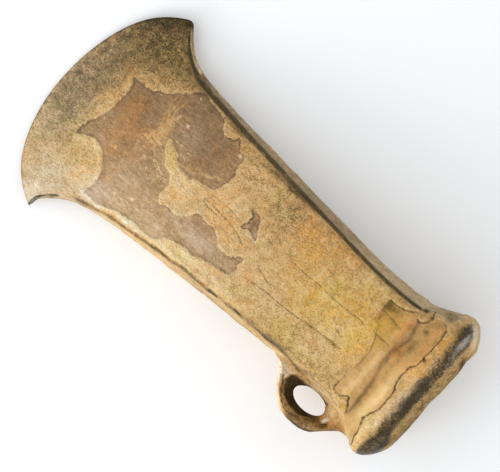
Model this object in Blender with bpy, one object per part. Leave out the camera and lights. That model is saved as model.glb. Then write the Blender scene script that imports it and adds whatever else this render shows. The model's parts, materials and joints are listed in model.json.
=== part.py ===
"""Late Bronze Age socketed axe head: one hollow casting with a side loop, lying on one of its faces.

Axe coordinates: x runs along the axe from the cutting edge to the socket mouth, y runs across the face, with
the loop on the -y side, and z runs through the thickness, with the casting seam at z = 0. The finished axe is
tilted about y until it rests on its cutting edge and on its collar, with its bounding box centred over the
origin. All lengths are in metres.
"""

import math

import bmesh
import bpy
from mathutils import Matrix, Vector

# Whole axe
LENGTH = 0.1100  # cutting edge to socket mouth
EDGE_HALF_THICKNESS = 0.00035
SEAM_FLASH = 0.00015  # ridge of metal left along the casting seam
FACE_CROWN = 0.00025  # how far each broad face bulges at its middle

# Outline at the casting seam. Each station gives the x of its middle and the end of its row on either side,
# as (x, y). Near the blade the rows curve with the cutting edge. The first five go round the hooked horns.
STATIONS = (
    (0.0000, (0.0134, 0.0273), (0.0138, 0.0283)),
    (0.0011, (0.0144, 0.0264), (0.0133, 0.0267)),
    (0.0030, (0.0156, 0.0249), (0.0141, 0.0251)),
    (0.0058, (0.0174, 0.0231), (0.0162, 0.0234)),
    (0.0098, (0.0203, 0.0211), (0.0196, 0.0214)),
    (0.0158, (0.0245, 0.0197), (0.0245, 0.0197)),
    (0.0250, (0.0305, 0.0188), (0.0305, 0.0187)),
    (0.0370, (0.0393, 0.0180), (0.0393, 0.0178)),
    (0.0510, (0.0510, 0.0172), (0.0510, 0.0169)),
    (0.0660, (0.0660, 0.0162), (0.0660, 0.0159)),
    (0.0800, (0.0800, 0.0153), (0.0800, 0.0152)),
    (0.0900, (0.0900, 0.0151), (0.0900, 0.0151)),
)
ROWS_PER_STATION = 2
EDGE_APEX_Y = -0.0015  # where the cutting edge reaches furthest out
EDGE_BOW = (0.66, 2.1)  # share and power of the cutting edge's even curve
EDGE_HOOK = (0.34, 8.0)  # share and power of its sharper curl towards the horns

# Half-thickness of the wedge-shaped body, as (x, half-thickness)
BODY_THICKNESS = (
    (0.0000, EDGE_HALF_THICKNESS),
    (0.0030, 0.00095),
    (0.0100, 0.0021),
    (0.0300, 0.0051),
    (0.0600, 0.0090),
    (0.0900, 0.0123),
    (LENGTH, 0.0137),
)
SIDE_DRAFT = 0.20  # how far each side slopes out to the seam, per unit of half-thickness
ARRIS_RADIUS = 0.0018
BLADE_ARRIS_SHARE = 0.6  # the arris radius of the thin blade, as a share of its half-thickness
MOST_ARRIS_SHARE = 0.75  # largest part of a half-section that its rounded corner takes

# Collar: what it adds to the body's half-width and to its half-thickness, as (x, flare)
SIDE_FLARE = (
    (0.0860, 0.0000),
    (0.0920, 0.0004),
    (0.0960, 0.0009),
    (0.0990, 0.0021),
    (0.1020, 0.0035),
    (0.1050, 0.0045),
    (0.1066, 0.0041),
    (0.1080, 0.0029),
    (0.1092, 0.0012),
    (LENGTH, -0.0006),
)
FACE_FLARE = (
    (0.0950, 0.0000),
    (0.0974, 0.0003),
    (0.0995, 0.0012),
    (0.1022, 0.0029),
    (0.1053, 0.0042),
    (0.1066, 0.0040),
    (0.1080, 0.0028),
    (0.1092, 0.0011),
    (LENGTH, -0.0006),
)
COLLAR_ROWS = (
    0.0925, 0.0936, 0.0945, 0.0953, 0.0961, 0.0971, 0.0983, 0.0996, 0.1010, 0.1024, 0.1037,
    0.1048, 0.1057, 0.1066, 0.1074, 0.1081, 0.1087, 0.1092, 0.1096, LENGTH,
)  # fmt: skip
COLLAR_ROUNDING = 1.5  # growth of the arris radius with the flare
RIB_X = 0.0953  # low rib that crosses each face just before the collar
RIB_HEIGHT = 0.0005
RIB_HALF_WIDTH = 0.0014
RIB_FADE_POWER = 6

# Socket
SOCKET_DEPTH = 0.072
MOUTH_HALF_WIDTH = 0.0125
MOUTH_HALF_HEIGHT = 0.0112
SOCKET_END_HALF_WIDTH = 0.0100
SOCKET_END_HALF_HEIGHT = 0.0034
MOUTH_EASE = 0.0005  # rounding of the socket's inner lip
SOCKET_DRAFT = 0.06
SOCKET_CORNER = 0.0045
SOCKET_ROWS = 9
SOCKET_END_ROUNDING = 0.0020

# Loop: a strap arched in the plane of the seam, whose inner face slopes away from the seam on both sides
LOOP_OUTLINE = (
    (0.0770, -0.0150),
    (0.0790, -0.0163),
    (0.0807, -0.0183),
    (0.0831, -0.0215),
    (0.0858, -0.0237),
    (0.0900, -0.0245),
    (0.0941, -0.0237),
    (0.0974, -0.0206),
    (0.0998, -0.0186),
    (0.1025, -0.0180),
    (0.1020, -0.0138),  # the rest runs back inside the metal of the socket's wall
    (0.0900, -0.0138),
    (0.0790, -0.0138),
)
LOOP_STEPS_PER_POINT = 3
LOOP_CENTRE = Vector((0.0900, -0.0182))
LOOP_HOLE = (0.0042, 0.0024)  # half-axes of the hole at the seam
LOOP_HOLE_FACE = (0.0069, 0.0038)  # and at the strap's edges
LOOP_HALF_WIDTH = 0.0038
LOOP_ROOT_TAPER = 0.18  # how fast the strap narrows beyond the hole's centre, towards the body

# Points of a quarter section, seam to middle of the face
SIDE_POINTS = 2
ARRIS_POINTS = 5
FACE_POINTS = 9
FACE_SPACING = 1.4  # power that crowds the face's points towards the arris

SHARP_ANGLE = math.radians(40)
BRONZE = (0.42, 0.27, 0.12, 1.0)


def eased(points, x):
    """Smooth value at x of a curve through (x, value) points, with no overshoot between them."""
    if x <= points[0][0]:
        return points[0][1]
    if x >= points[-1][0]:
        return points[-1][1]
    steps = [(b[1] - a[1]) / (b[0] - a[0]) for a, b in zip(points, points[1:])]
    slopes = [steps[0]]
    for before, after in zip(steps, steps[1:]):
        slopes.append(2 * before * after / (before + after) if before * after > 0 else 0.0)
    slopes.append(steps[-1])
    i = max(k for k in range(len(points) - 1) if points[k][0] <= x)
    (x0, v0), (x1, v1) = points[i], points[i + 1]
    span = x1 - x0
    t = (x - x0) / span
    return (
        v0 * (2 * t**3 - 3 * t**2 + 1)
        + span * slopes[i] * (t**3 - 2 * t**2 + t)
        + v1 * (3 * t**2 - 2 * t**3)
        + span * slopes[i + 1] * (t**3 - t**2)
    )


def spline(points, i, t):
    """Catmull-Rom point between points[i] and points[i + 1]."""
    last = len(points) - 1
    a, b, c, d = (Vector(points[min(max(k, 0), last)]) for k in (i - 1, i, i + 1, i + 2))
    return (
        2 * b + (c - a) * t + (2 * a - 5 * b + 4 * c - d) * t**2 + (3 * b - a - 3 * c + d) * t**3
    ) / 2


def quarter_section(half_width, half_height, draft, radius):
    """(y, z) points of a quarter section, from the seam over the rounded arris to the middle of the face."""
    corner = Vector((half_width - draft * half_height, half_height))
    seam = Vector((half_width, 0.0))
    along_side = (corner - seam).normalized()
    turn = math.pi / 2 - math.atan(draft)
    reach = min(radius * math.tan(turn / 2), MOST_ARRIS_SHARE * half_height, MOST_ARRIS_SHARE * corner.x)
    radius = reach / math.tan(turn / 2)
    start = corner - along_side * reach
    centre = Vector((corner.x - reach, half_height - radius))
    first = math.atan2(start.y - centre.y, start.x - centre.x)
    points = [seam.lerp(start, k / SIDE_POINTS) for k in range(SIDE_POINTS)]
    for k in range(ARRIS_POINTS):
        angle = first + (math.pi / 2 - first) * k / (ARRIS_POINTS - 1)
        points.append(centre + radius * Vector((math.cos(angle), math.sin(angle))))
    face_end = points[-1].x
    for k in range(1, FACE_POINTS + 1):
        points.append(Vector((face_end * (1 - (k / FACE_POINTS) ** FACE_SPACING), half_height)))
    return points


def ring_of(plus_side, minus_side):
    """A closed ring of (y, z) from a quarter section for each side: over the top, then back underneath."""
    top = [(p.x, p.y) for p in plus_side] + [(-p.x, p.y) for p in reversed(minus_side[:-1])]
    return top + [(y, -z) for y, z in reversed(top[1:-1])]


def rib(x, y, half_face):
    """Height of the low rib, which dies away towards the arrises."""
    across = (x - RIB_X) / RIB_HALF_WIDTH
    if abs(across) >= 1 or abs(y) >= half_face:
        return 0.0
    fade = 1 - (y / half_face) ** RIB_FADE_POWER
    return RIB_HEIGHT * fade * (1 + math.cos(math.pi * across)) / 2


def edge_curve(share):
    """How far a row has swept back, from 0 to 1, at a share of the way from its apex to its end."""
    return EDGE_BOW[0] * share ** EDGE_BOW[1] + EDGE_HOOK[0] * share ** EDGE_HOOK[1]


def outer_row(middle_x, plus_end, minus_end):
    """One ring of the outer surface, from its middle and the ends of its row on either side."""
    side_flare, face_flare = eased(SIDE_FLARE, middle_x), eased(FACE_FLARE, middle_x)
    half_height = eased(BODY_THICKNESS, middle_x) + face_flare
    radius = min(ARRIS_RADIUS, BLADE_ARRIS_SHARE * half_height) + COLLAR_ROUNDING * max(0.0, face_flare)
    draft = SIDE_DRAFT * ARRIS_RADIUS / max(radius, ARRIS_RADIUS)
    half_widths = (plus_end[1] + side_flare, minus_end[1] + side_flare)
    sides = [quarter_section(half_width, half_height, draft, radius) for half_width in half_widths]
    points = []
    for y, z in ring_of(*sides):
        side = sides[0] if y >= 0 else sides[1]
        end, reach = (plus_end, sides[0][0].x) if y > EDGE_APEX_Y else (minus_end, -sides[1][0].x)
        x = middle_x + (end[0] - middle_x) * edge_curve((y - EDGE_APEX_Y) / (reach - EDGE_APEX_Y))
        half_face = side[SIDE_POINTS + ARRIS_POINTS - 1].x
        bulge = FACE_CROWN * min(1.0, half_height / ARRIS_RADIUS) * max(0.0, 1 - (y / half_face) ** 2)
        bulge += rib(x, y, half_face)
        if z == 0 and 0 < middle_x < FACE_FLARE[0][0]:
            y += math.copysign(SEAM_FLASH, y)
        points.append(Vector((x, y, z + math.copysign(bulge, z) if z else z)))
    return points


def outer_rows():
    """Every ring of the outer surface, from the cutting edge to the rim of the mouth."""
    middles, plus, minus = zip(*STATIONS)
    middles = [(x, 0.0) for x in middles]
    rows = []
    for i in range(len(STATIONS) - 1):
        for k in range(ROWS_PER_STATION):
            t = k / ROWS_PER_STATION
            rows.append((spline(middles, i, t).x, spline(plus, i, t), spline(minus, i, t)))
    rows.append((middles[-1][0], Vector(plus[-1]), Vector(minus[-1])))
    for x in COLLAR_ROWS:
        rows.append((x, Vector((x, plus[-1][1])), Vector((x, minus[-1][1]))))
    return [outer_row(*row) for row in rows]


def socket_row(depth, inset=0.0):
    """One ring of the socket at a depth below the mouth, drawn in by inset."""
    share = depth / SOCKET_DEPTH
    ease = MOUTH_EASE * max(0.0, 1 - depth / (2 * MOUTH_EASE)) ** 2
    half_width = MOUTH_HALF_WIDTH + (SOCKET_END_HALF_WIDTH - MOUTH_HALF_WIDTH) * share + ease - inset
    half_height = MOUTH_HALF_HEIGHT + (SOCKET_END_HALF_HEIGHT - MOUTH_HALF_HEIGHT) * share + ease - inset
    corner = SOCKET_CORNER * (1 - 0.6 * share)
    side = quarter_section(half_width, half_height, SOCKET_DRAFT, corner)
    return [Vector((LENGTH - depth, y, z)) for y, z in ring_of(side, side)]


def socket_rows():
    """The rings of the socket, from the mouth down to its rounded end."""
    straight = SOCKET_DEPTH - SOCKET_END_ROUNDING
    eased_depth = 2 * MOUTH_EASE
    depths = [0.0, eased_depth / 2]
    depths += [eased_depth + (straight - eased_depth) * k / SOCKET_ROWS for k in range(SOCKET_ROWS + 1)]
    rows = [socket_row(depth) for depth in depths]
    for angle in (math.radians(45), math.radians(80)):
        inset = SOCKET_END_ROUNDING * (1 - math.cos(angle))
        rows.append(socket_row(straight + SOCKET_END_ROUNDING * math.sin(angle), inset))
    return rows


def close_end(bm, ring):
    """Closes a ring with a strip of faces between its upper half and its lower half."""
    for k in range(len(ring) // 2):
        corners = (ring[k], ring[k + 1], ring[-(k + 1)], ring[-k])
        bm.faces.new(list(dict.fromkeys(corners)))


def lofted(name, rows, endless=False):
    """A closed mesh through rings of equal length: with both end rings closed, or running round endlessly."""
    bm = bmesh.new()
    rings = [[bm.verts.new(point) for point in row] for row in rows]
    for ring, following in zip(rings, rings[1:] + rings[:1] * endless):
        for k in range(len(ring)):
            after = (k + 1) % len(ring)
            bm.faces.new((ring[k], ring[after], following[after], following[k]))
    if not endless:
        close_end(bm, rings[0])
        close_end(bm, rings[-1])
    bmesh.ops.recalc_face_normals(bm, faces=bm.faces)
    mesh = bpy.data.meshes.new(name)
    bm.to_mesh(mesh)
    bm.free()
    return mesh


def loop_section(outer):
    """One section of the strap: from a point of its outline, inwards to the hole."""
    inward = LOOP_CENTRE - outer
    distance = inward.length
    inward.normalize()

    def from_centre(half_axes):
        return distance - 1 / math.hypot(inward.x / half_axes[0], inward.y / half_axes[1])

    hole, hole_face = from_centre(LOOP_HOLE), from_centre(LOOP_HOLE_FACE)
    half_width = LOOP_HALF_WIDTH - LOOP_ROOT_TAPER * max(0.0, outer.y - LOOP_CENTRE.y)
    upper = (
        (0.0, 0.0),
        (0.0002, 0.45 * half_width),
        (0.0006, 0.8 * half_width),
        (hole_face / 2, half_width),
        (hole_face, 0.85 * half_width),
        ((hole + hole_face) / 2, 0.4 * half_width),
        (hole, 0.0),
    )
    section = upper + tuple((depth, -height) for depth, height in reversed(upper[1:-1]))
    return [Vector((*(outer + inward * depth), height)) for depth, height in section]


def loop_mesh():
    """The strap, closed round its hole by a part that lies inside the body."""
    count = len(LOOP_OUTLINE)
    rows = []
    for i in range(count):
        around = [LOOP_OUTLINE[(i + k) % count] for k in (-1, 0, 1, 2)]
        for k in range(LOOP_STEPS_PER_POINT):
            rows.append(loop_section(spline(around, 1, k / LOOP_STEPS_PER_POINT)))
    return lofted("loop_strap", rows, endless=True)


def resting_tilt(points):
    """The tilt about y at which the blade's lowest point and the collar's are level."""
    blade = [p for p in points if p.x < LENGTH / 2]
    collar = [p for p in points if p.x >= LENGTH / 2]
    low, high = 0.0, math.radians(30)
    for _ in range(50):
        tilt = (low + high) / 2
        turn = Matrix.Rotation(-tilt, 3, "Y")
        if min((turn @ p).z for p in collar) < min((turn @ p).z for p in blade):
            low = tilt
        else:
            high = tilt
    return tilt


def bronze():
    material = bpy.data.materials.new("bronze")
    material.use_nodes = True
    shader = material.node_tree.nodes["Principled BSDF"]
    shader.inputs["Base Color"].default_value = BRONZE
    shader.inputs["Metallic"].default_value = 0.35
    shader.inputs["Roughness"].default_value = 0.6
    return material


def add_object(name, mesh, parent, material):
    mesh.materials.append(material)
    mesh.shade_smooth()
    mesh.set_sharp_from_angle(angle=SHARP_ANGLE)
    made = bpy.data.objects.new(name, mesh)
    bpy.context.scene.collection.objects.link(made)
    made.parent = parent
    return made


def main():
    for old in list(bpy.data.objects):
        bpy.data.objects.remove(old, do_unlink=True)
    pose = bpy.data.objects.new("lying_pose", None)
    bpy.context.scene.collection.objects.link(pose)
    material = bronze()

    axe = add_object("axe_head", lofted("axe_head", outer_rows() + socket_rows()), pose, material)
    loop = add_object("loop_strap", loop_mesh(), pose, material)
    loop.hide_render = True
    loop.display_type = "WIRE"
    join = axe.modifiers.new("join_loop", "BOOLEAN")
    join.operation = "UNION"
    join.solver = "EXACT"
    join.object = loop

    points = [vertex.co for made in (axe, loop) for vertex in made.data.vertices]
    turn = Matrix.Rotation(-resting_tilt(points), 4, "Y")
    turned = [turn @ point for point in points]
    lowest = Vector(min(p[k] for p in turned) for k in range(3))
    highest = Vector(max(p[k] for p in turned) for k in range(3))
    centre = (lowest + highest) / 2
    pose.matrix_world = Matrix.Translation((-centre.x, -centre.y, -lowest.z)) @ turn


main()
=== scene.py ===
"""Bronze socketed axe head: its corroded skin as one detailed piece, on a plain pale floor."""

import json
import math

import bmesh
import bpy
import numpy as np
from bpy.props import FloatProperty, FloatVectorProperty, PointerProperty
from mathutils import Matrix, Vector, noise
from mathutils.bvhtree import BVHTree


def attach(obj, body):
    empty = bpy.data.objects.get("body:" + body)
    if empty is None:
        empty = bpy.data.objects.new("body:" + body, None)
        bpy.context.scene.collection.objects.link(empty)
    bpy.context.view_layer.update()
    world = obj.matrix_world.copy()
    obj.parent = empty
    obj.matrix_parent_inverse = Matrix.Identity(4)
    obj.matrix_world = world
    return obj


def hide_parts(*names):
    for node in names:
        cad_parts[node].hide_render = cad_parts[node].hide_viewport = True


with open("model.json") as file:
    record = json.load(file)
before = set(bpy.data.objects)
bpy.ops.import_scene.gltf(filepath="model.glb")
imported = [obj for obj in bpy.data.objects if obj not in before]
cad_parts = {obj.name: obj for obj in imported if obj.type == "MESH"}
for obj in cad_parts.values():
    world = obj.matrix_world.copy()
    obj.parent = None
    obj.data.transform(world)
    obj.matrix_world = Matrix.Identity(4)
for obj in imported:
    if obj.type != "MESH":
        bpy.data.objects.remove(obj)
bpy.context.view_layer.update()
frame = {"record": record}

bl_info = {
    "name": "Socketed Axe Head",
    "version": (1, 0, 0),
    "blender": (4, 5, 0),
    "location": "3D View > Sidebar > Axe Head",
    "description": "Makes a corroded bronze socketed axe head and a plain stage for it",
    "category": "Object",
}

MM = 0.001

# ---- The casting's own shape, in axe coordinates: x from the cutting edge to the mouth, y across the face with the
# loop at -y, z through the thickness with the seam at 0. Metres.
LENGTH = 0.1100  # cutting edge to socket mouth
RIM_MOUNT_HEIGHT = 0.0125  # the record's rim mount, above the axe's own axis
EDGE_HALF_THICKNESS = 0.00035
SEAM_FLASH = 0.00015  # ridge of metal left along the casting seam
FACE_CROWN = 0.00025  # how far each broad face bulges at its middle
# Rows across the blade: x of the row's middle, then the row's ends at +y and at -y as (x, distance from the axis)
STATIONS = (
    (0.0000, (0.0128, 0.0268), (0.0138, 0.0283)),
    (0.0011, (0.0141, 0.0267), (0.0141, 0.0272)),
    (0.0030, (0.0154, 0.0253), (0.0146, 0.0256)),
    (0.0058, (0.0173, 0.0233), (0.0163, 0.0238)),
    (0.0098, (0.0203, 0.0211), (0.0196, 0.0214)),
    (0.0158, (0.0245, 0.0197), (0.0245, 0.0197)),
    (0.0250, (0.0305, 0.0188), (0.0305, 0.0187)),
    (0.0370, (0.0393, 0.0180), (0.0393, 0.0178)),
    (0.0510, (0.0510, 0.0172), (0.0510, 0.0169)),
    (0.0660, (0.0660, 0.0162), (0.0660, 0.0159)),
    (0.0800, (0.0800, 0.0153), (0.0800, 0.0152)),
    (0.0900, (0.0900, 0.0151), (0.0900, 0.0151)),
)
EDGE_APEX_Y = -0.0015  # where the cutting edge reaches furthest out
EDGE_BOW = (0.66, 2.1)  # share and power of the cutting edge's even curve
EDGE_HOOK = (0.34, 8.0)  # share and power of its sharper curl towards the horns
# Half-thickness along the axe
BODY_THICKNESS = (
    (0.0000, EDGE_HALF_THICKNESS),
    (0.0030, 0.00095),
    (0.0100, 0.0021),
    (0.0300, 0.0051),
    (0.0600, 0.0090),
    (0.0900, 0.0123),
    (LENGTH, 0.0137),
)
SIDE_DRAFT = 0.20  # how far each side slopes out to the seam, per unit of half-thickness
ARRIS_RADIUS = 0.0018
BLADE_ARRIS_SHARE = 0.6  # the arris radius of the thin blade, as a share of its half-thickness
MOST_ARRIS_SHARE = 0.75  # largest part of a half-section that its rounded corner takes
# How far the sides and the faces flare out to the collar
SIDE_FLARE = (
    (0.0860, 0.0000),
    (0.0920, 0.0004),
    (0.0960, 0.0009),
    (0.0990, 0.0021),
    (0.1020, 0.0035),
    (0.1050, 0.0045),
    (0.1066, 0.0041),
    (0.1080, 0.0029),
    (0.1092, 0.0012),
    (LENGTH, -0.0006),
)
FACE_FLARE = (
    (0.0950, 0.0000),
    (0.0974, 0.0003),
    (0.0995, 0.0012),
    (0.1022, 0.0029),
    (0.1053, 0.0042),
    (0.1066, 0.0040),
    (0.1080, 0.0028),
    (0.1092, 0.0011),
    (LENGTH, -0.0006),
)
COLLAR_ROUNDING = 1.5  # growth of the arris radius with the flare
RIB_X = 0.0957  # low rib that crosses each face just before the collar
RIB_HEIGHT = 0.0005
RIB_HALF_WIDTH = 0.0014
RIB_FADE_POWER = 6
SOCKET_DEPTH = 0.072
MOUTH_HALF_WIDTH = 0.0125
MOUTH_HALF_HEIGHT = 0.0112
SOCKET_END_HALF_WIDTH = 0.0100
SOCKET_END_HALF_HEIGHT = 0.0034
MOUTH_EASE = 0.0005  # rounding of the socket's inner lip
SOCKET_DRAFT = 0.06
SOCKET_CORNER = 0.0045
SOCKET_CORNER_TAPER = 0.6  # share of the corner's radius that is lost at the socket's end
SOCKET_END_ROUNDING = 0.0020
SOCKET_END_TURNS = (20, 40, 60, 80)  # degrees round the rounding at each ring
LOOP_OUTLINE = (
    (0.0770, -0.0150),
    (0.0790, -0.0163),
    (0.0807, -0.0183),
    (0.0831, -0.0215),
    (0.0858, -0.0237),
    (0.0900, -0.0245),
    (0.0941, -0.0237),
    (0.0974, -0.0206),
    (0.0998, -0.0186),
    (0.1025, -0.0180),
    (0.1020, -0.0138),
    (0.0900, -0.0138),
    (0.0790, -0.0138),
)
LOOP_CENTRE = Vector((0.0900, -0.0182))
LOOP_HOLE = (0.0042, 0.0024)  # half-axes of the hole at the seam
LOOP_HOLE_FACE = (0.0069, 0.0038)  # and at the strap's edges
LOOP_HALF_WIDTH = 0.0038
LOOP_ROOT_TAPER = 0.18  # how fast the strap narrows beyond the hole's centre, towards the body
LOOP_BACK = ((0.0, 0.0), (0.0002, 0.45), (0.0006, 0.8))  # its rounded back: depth, share of the half-width
# Where the loop's roots are blended into the body
ROOTS_X = (0.074, 0.106)
ROOTS_Y = -0.012
ROOTS_REACH = 0.0011
ROOTS_SMOOTHINGS = 10

# ---- How finely the skin is divided
SIDE_POINTS = 18
ARRIS_POINTS = 7
FACE_POINTS = 44
BLADE_ROWS = 58
BODY_ROWS = 108
COLLAR_ROWS = 62
LIP_ROWS = 6
SOCKET_ROWS = 34
SOCKET_ROW_SPREAD = 1.2  # power that crowds the socket's rings towards the mouth
LOOP_ROWS_PER_POINT = 10
LOOP_SECTION_STEPS = 4
BODY_START = 0.0240
COLLAR_START = 0.0925
HALVINGS = 20  # in the search for a row's place on its curve
SAME_PLACE = 1e-7
RING_MARGIN = 1e-6
SLIVER = 2e-5  # shortest edge kept where the loop joins the body
SHARP_ANGLE = math.radians(50)

# ---- Corrosion, with painted light and shade, in millimetres of the axe
# Where the crust has flaked off the upper face
LARGE_FLAKE = (
    (12.8, 8.9), (13.9, 9.1), (16.0, 8.9), (17.2, 9.2), (18.5, 9.6), (19.3, 10.5), (20.3, 10.8), (21.4, 11.3),
    (22.6, 12.5), (23.4, 13.4), (24.5, 14.2), (25.5, 15.3), (26.5, 16.2), (27.7, 16.6), (29.3, 16.4), (31.0, 16.0),
    (32.8, 15.7), (34.4, 15.5), (35.3, 14.6), (36.0, 13.6), (36.9, 12.9), (37.9, 12.7), (39.0, 13.1), (39.9, 13.7),
    (40.4, 14.6), (41.1, 14.0), (41.9, 13.0), (42.6, 12.3), (43.8, 12.2), (44.2, 11.6), (44.3, 10.1), (44.5, 9.0),
    (45.1, 8.0), (44.9, 6.1), (44.5, 4.2), (44.1, 2.7), (43.3, 2.1), (41.5, 1.9), (39.9, 1.6), (38.7, 1.4),
    (38.3, 0.5), (37.1, 0.7), (35.7, 0.7), (34.4, 1.4), (33.1, 1.9), (32.3, 2.9), (31.0, 3.6), (30.0, 3.8),
    (29.0, 4.4), (28.4, 3.9), (28.5, 2.9), (29.0, 1.9), (30.0, 1.0), (31.0, -0.1), (32.0, -1.0), (33.8, -1.4),
    (34.6, -2.3), (35.3, -3.4), (35.3, -4.7), (35.1, -5.7), (35.2, -6.6), (36.0, -7.8), (37.0, -8.1), (38.4, -7.5),
    (39.9, -7.4), (41.3, -7.6), (42.3, -7.0), (43.1, -6.2), (43.7, -5.3), (44.5, -4.3), (45.5, -4.0), (47.7, -4.3),
    (49.9, -4.1), (51.3, -4.9), (52.6, -5.8), (54.0, -6.3), (55.8, -6.3), (57.2, -5.9), (58.2, -5.0), (58.7, -4.4),
    (59.2, -5.4), (59.2, -6.7), (59.6, -7.5), (59.2, -8.8), (58.5, -9.6), (56.7, -9.7), (54.4, -10.0),
    (52.0, -10.6), (49.8, -11.2), (47.6, -11.3), (45.6, -11.6), (43.8, -12.1), (42.4, -13.0), (40.9, -14.6),
    (39.3, -14.9), (36.3, -14.9), (33.3, -15.2), (31.2, -15.3), (29.2, -16.2), (27.1, -16.9), (25.0, -17.6),
    (23.1, -17.4), (21.9, -17.3), (21.9, -16.2), (22.5, -14.8), (22.3, -13.5), (22.0, -12.0), (21.4, -10.8),
    (20.4, -9.7), (19.4, -8.4), (18.0, -7.4), (16.4, -7.0), (14.9, -7.0), (13.4, -7.8), (12.2, -8.6), (11.3, -8.6),
    (11.0, -7.6), (11.5, -6.2), (11.8, -4.8), (12.7, -3.6), (13.3, -2.0), (13.7, -0.2), (13.9, 2.2), (14.0, 4.7),
    (13.9, 6.5), (13.4, 7.9),
)  # fmt: skip
SMALL_FLAKE = (
    (53.0, 4.9), (53.9, 5.3), (54.9, 5.0), (56.0, 4.3), (56.8, 3.1), (57.4, 1.9), (58.0, 1.2), (58.4, -0.2),
    (57.6, 0.3), (56.6, 1.0), (55.6, 1.1), (54.6, 0.5), (54.1, 0.7), (54.3, 1.9), (54.5, 3.3), (54.0, 4.3),
)  # fmt: skip
# The smooth neck between the crust of the face and the crack round the collar
NECK = (
    (89.1, 10.3), (90.4, 10.4), (91.9, 10.5), (93.2, 10.8), (94.3, 11.4), (95.1, 12.1), (96.0, 11.6), (97.0, 11.2),
    (98.0, 11.8), (98.4, 13.0), (99.1, 13.8), (100.0, 14.2), (101.2, 14.4), (102.0, 13.9), (102.5, 13.4),
    (102.7, 12.3), (103.1, 11.1), (103.0, 9.8), (103.0, 8.3), (102.9, 7.2), (103.0, 5.9), (102.9, 5.0), (102.7, 3.8),
    (102.0, 2.6), (101.9, 1.2), (101.8, -0.1), (102.0, -1.4), (102.3, -2.4), (102.7, -3.3), (103.1, -4.4),
    (103.0, -5.5), (103.0, -7.0), (103.1, -8.1), (102.8, -9.2), (102.2, -10.4), (101.8, -11.5), (101.7, -12.8),
    (102.2, -13.8), (102.6, -14.8), (102.3, -15.5), (102.8, -16.4), (103.5, -17.9), (104.5, -22.0), (98.6, -22.0),
    (98.1, -17.7), (98.2, -13.8), (97.5, -12.6), (97.0, -11.8), (96.6, -11.1), (95.7, -11.6), (95.4, -11.7),
    (94.3, -12.4), (93.2, -12.2), (92.5, -11.4), (92.5, -10.0), (92.8, -8.2), (93.1, -6.3), (93.3, -3.5),
    (93.1, -0.6), (92.5, 1.3), (91.8, 2.9), (90.9, 4.6), (89.8, 5.8), (89.2, 6.8), (89.1, 7.9),
)  # fmt: skip
# Cracks, ridges of curled crust, scratches and thin veins of crust left on the flaked patches, as open lines
CRACKS = (
    ((98.4, 13.2), (99.1, 13.9), (100.0, 14.3), (101.2, 14.5), (102.0, 14.0), (102.5, 13.5), (102.7, 12.4),
     (103.2, 11.1), (103.0, 9.8), (103.1, 8.3), (102.9, 7.2), (103.0, 6.1), (103.3, 5.7), (103.0, 5.0), (102.8, 3.8),
     (102.1, 2.6), (101.9, 1.2), (101.8, -0.1), (102.1, -1.4), (102.3, -2.3), (102.8, -3.2), (103.2, -4.4),
     (103.1, -5.5), (103.1, -7.0), (103.2, -8.1), (102.9, -9.2), (102.3, -10.4), (101.9, -11.5), (101.8, -12.8),
     (102.3, -13.8), (102.7, -14.8), (102.4, -15.5), (102.9, -16.4), (103.5, -17.9), (104.2, -20.5)),
    ((92.5, -10.0), (92.5, -11.4), (93.2, -12.2), (94.3, -12.4), (95.4, -11.7), (96.1, -11.3), (96.6, -11.1)),
    ((96.6, -11.1), (97.0, -11.8), (97.5, -12.6), (98.2, -13.8)),
    ((90.0, -15.1), (91.6, -14.7), (93.3, -14.8), (94.9, -14.9), (96.4, -15.2), (98.0, -14.6), (98.5, -14.0)),
)  # fmt: skip
CURLS = (
    ((89.2, 10.9), (90.7, 11.1), (92.3, 11.3), (93.5, 11.7), (94.7, 12.5), (95.6, 12.0), (96.7, 11.5), (97.7, 12.0),
     (98.2, 12.9), (98.0, 14.1), (96.9, 15.1)),
    ((84.0, -14.7), (90.0, -14.2), (94.5, -13.8), (97.2, -13.7)),
)  # fmt: skip
LOOP_CRACK = (
    (82.0, -16.9), (82.4, -17.8), (83.1, -19.2), (84.1, -20.5), (85.4, -21.8), (87.1, -22.8), (88.7, -22.9),
    (91.0, -22.3), (93.0, -21.3),
)  # fmt: skip
CURL_LINES = (
    ((89.2, 10.4), (91.9, 10.6), (93.2, 10.9), (94.3, 11.6), (95.0, 12.1)),
    ((96.3, 11.2), (97.2, 11.1), (98.2, 11.9), (98.6, 12.9), (98.3, 14.3), (97.9, 15.2)),
    ((90.0, 13.4), (93.0, 13.2), (95.2, 13.3), (96.5, 13.8)),
)  # fmt: skip
# The groove on the mouth's side of the rib, painted darker: partly its own dark patina, partly painted shade
GROOVE = (
    (96.6, 12.2), (97.3, 9.5), (97.7, 6.5), (97.0, 3.2), (97.0, 0.0), (97.5, -3.0), (98.0, -6.0), (98.3, -9.0),
    (98.5, -12.0), (98.6, -13.5),
)  # fmt: skip
# The dark line along the arris on the loop's side
SOIL_LINE = (
    (17.7, -21.6), (21.8, -19.8), (26.2, -18.5), (32.0, -17.4), (35.9, -16.9), (40.0, -16.3), (44.0, -15.9),
    (46.5, -15.7), (50.0, -15.15), (56.0, -14.75), (62.0, -14.3), (68.0, -14.1), (74.0, -14.0), (78.0, -13.8),
    (80.5, -14.0), (83.6, -14.3), (86.0, -13.9), (88.1, -13.5), (90.0, -13.7), (92.6, -13.3), (94.0, -13.9),
)  # fmt: skip
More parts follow.
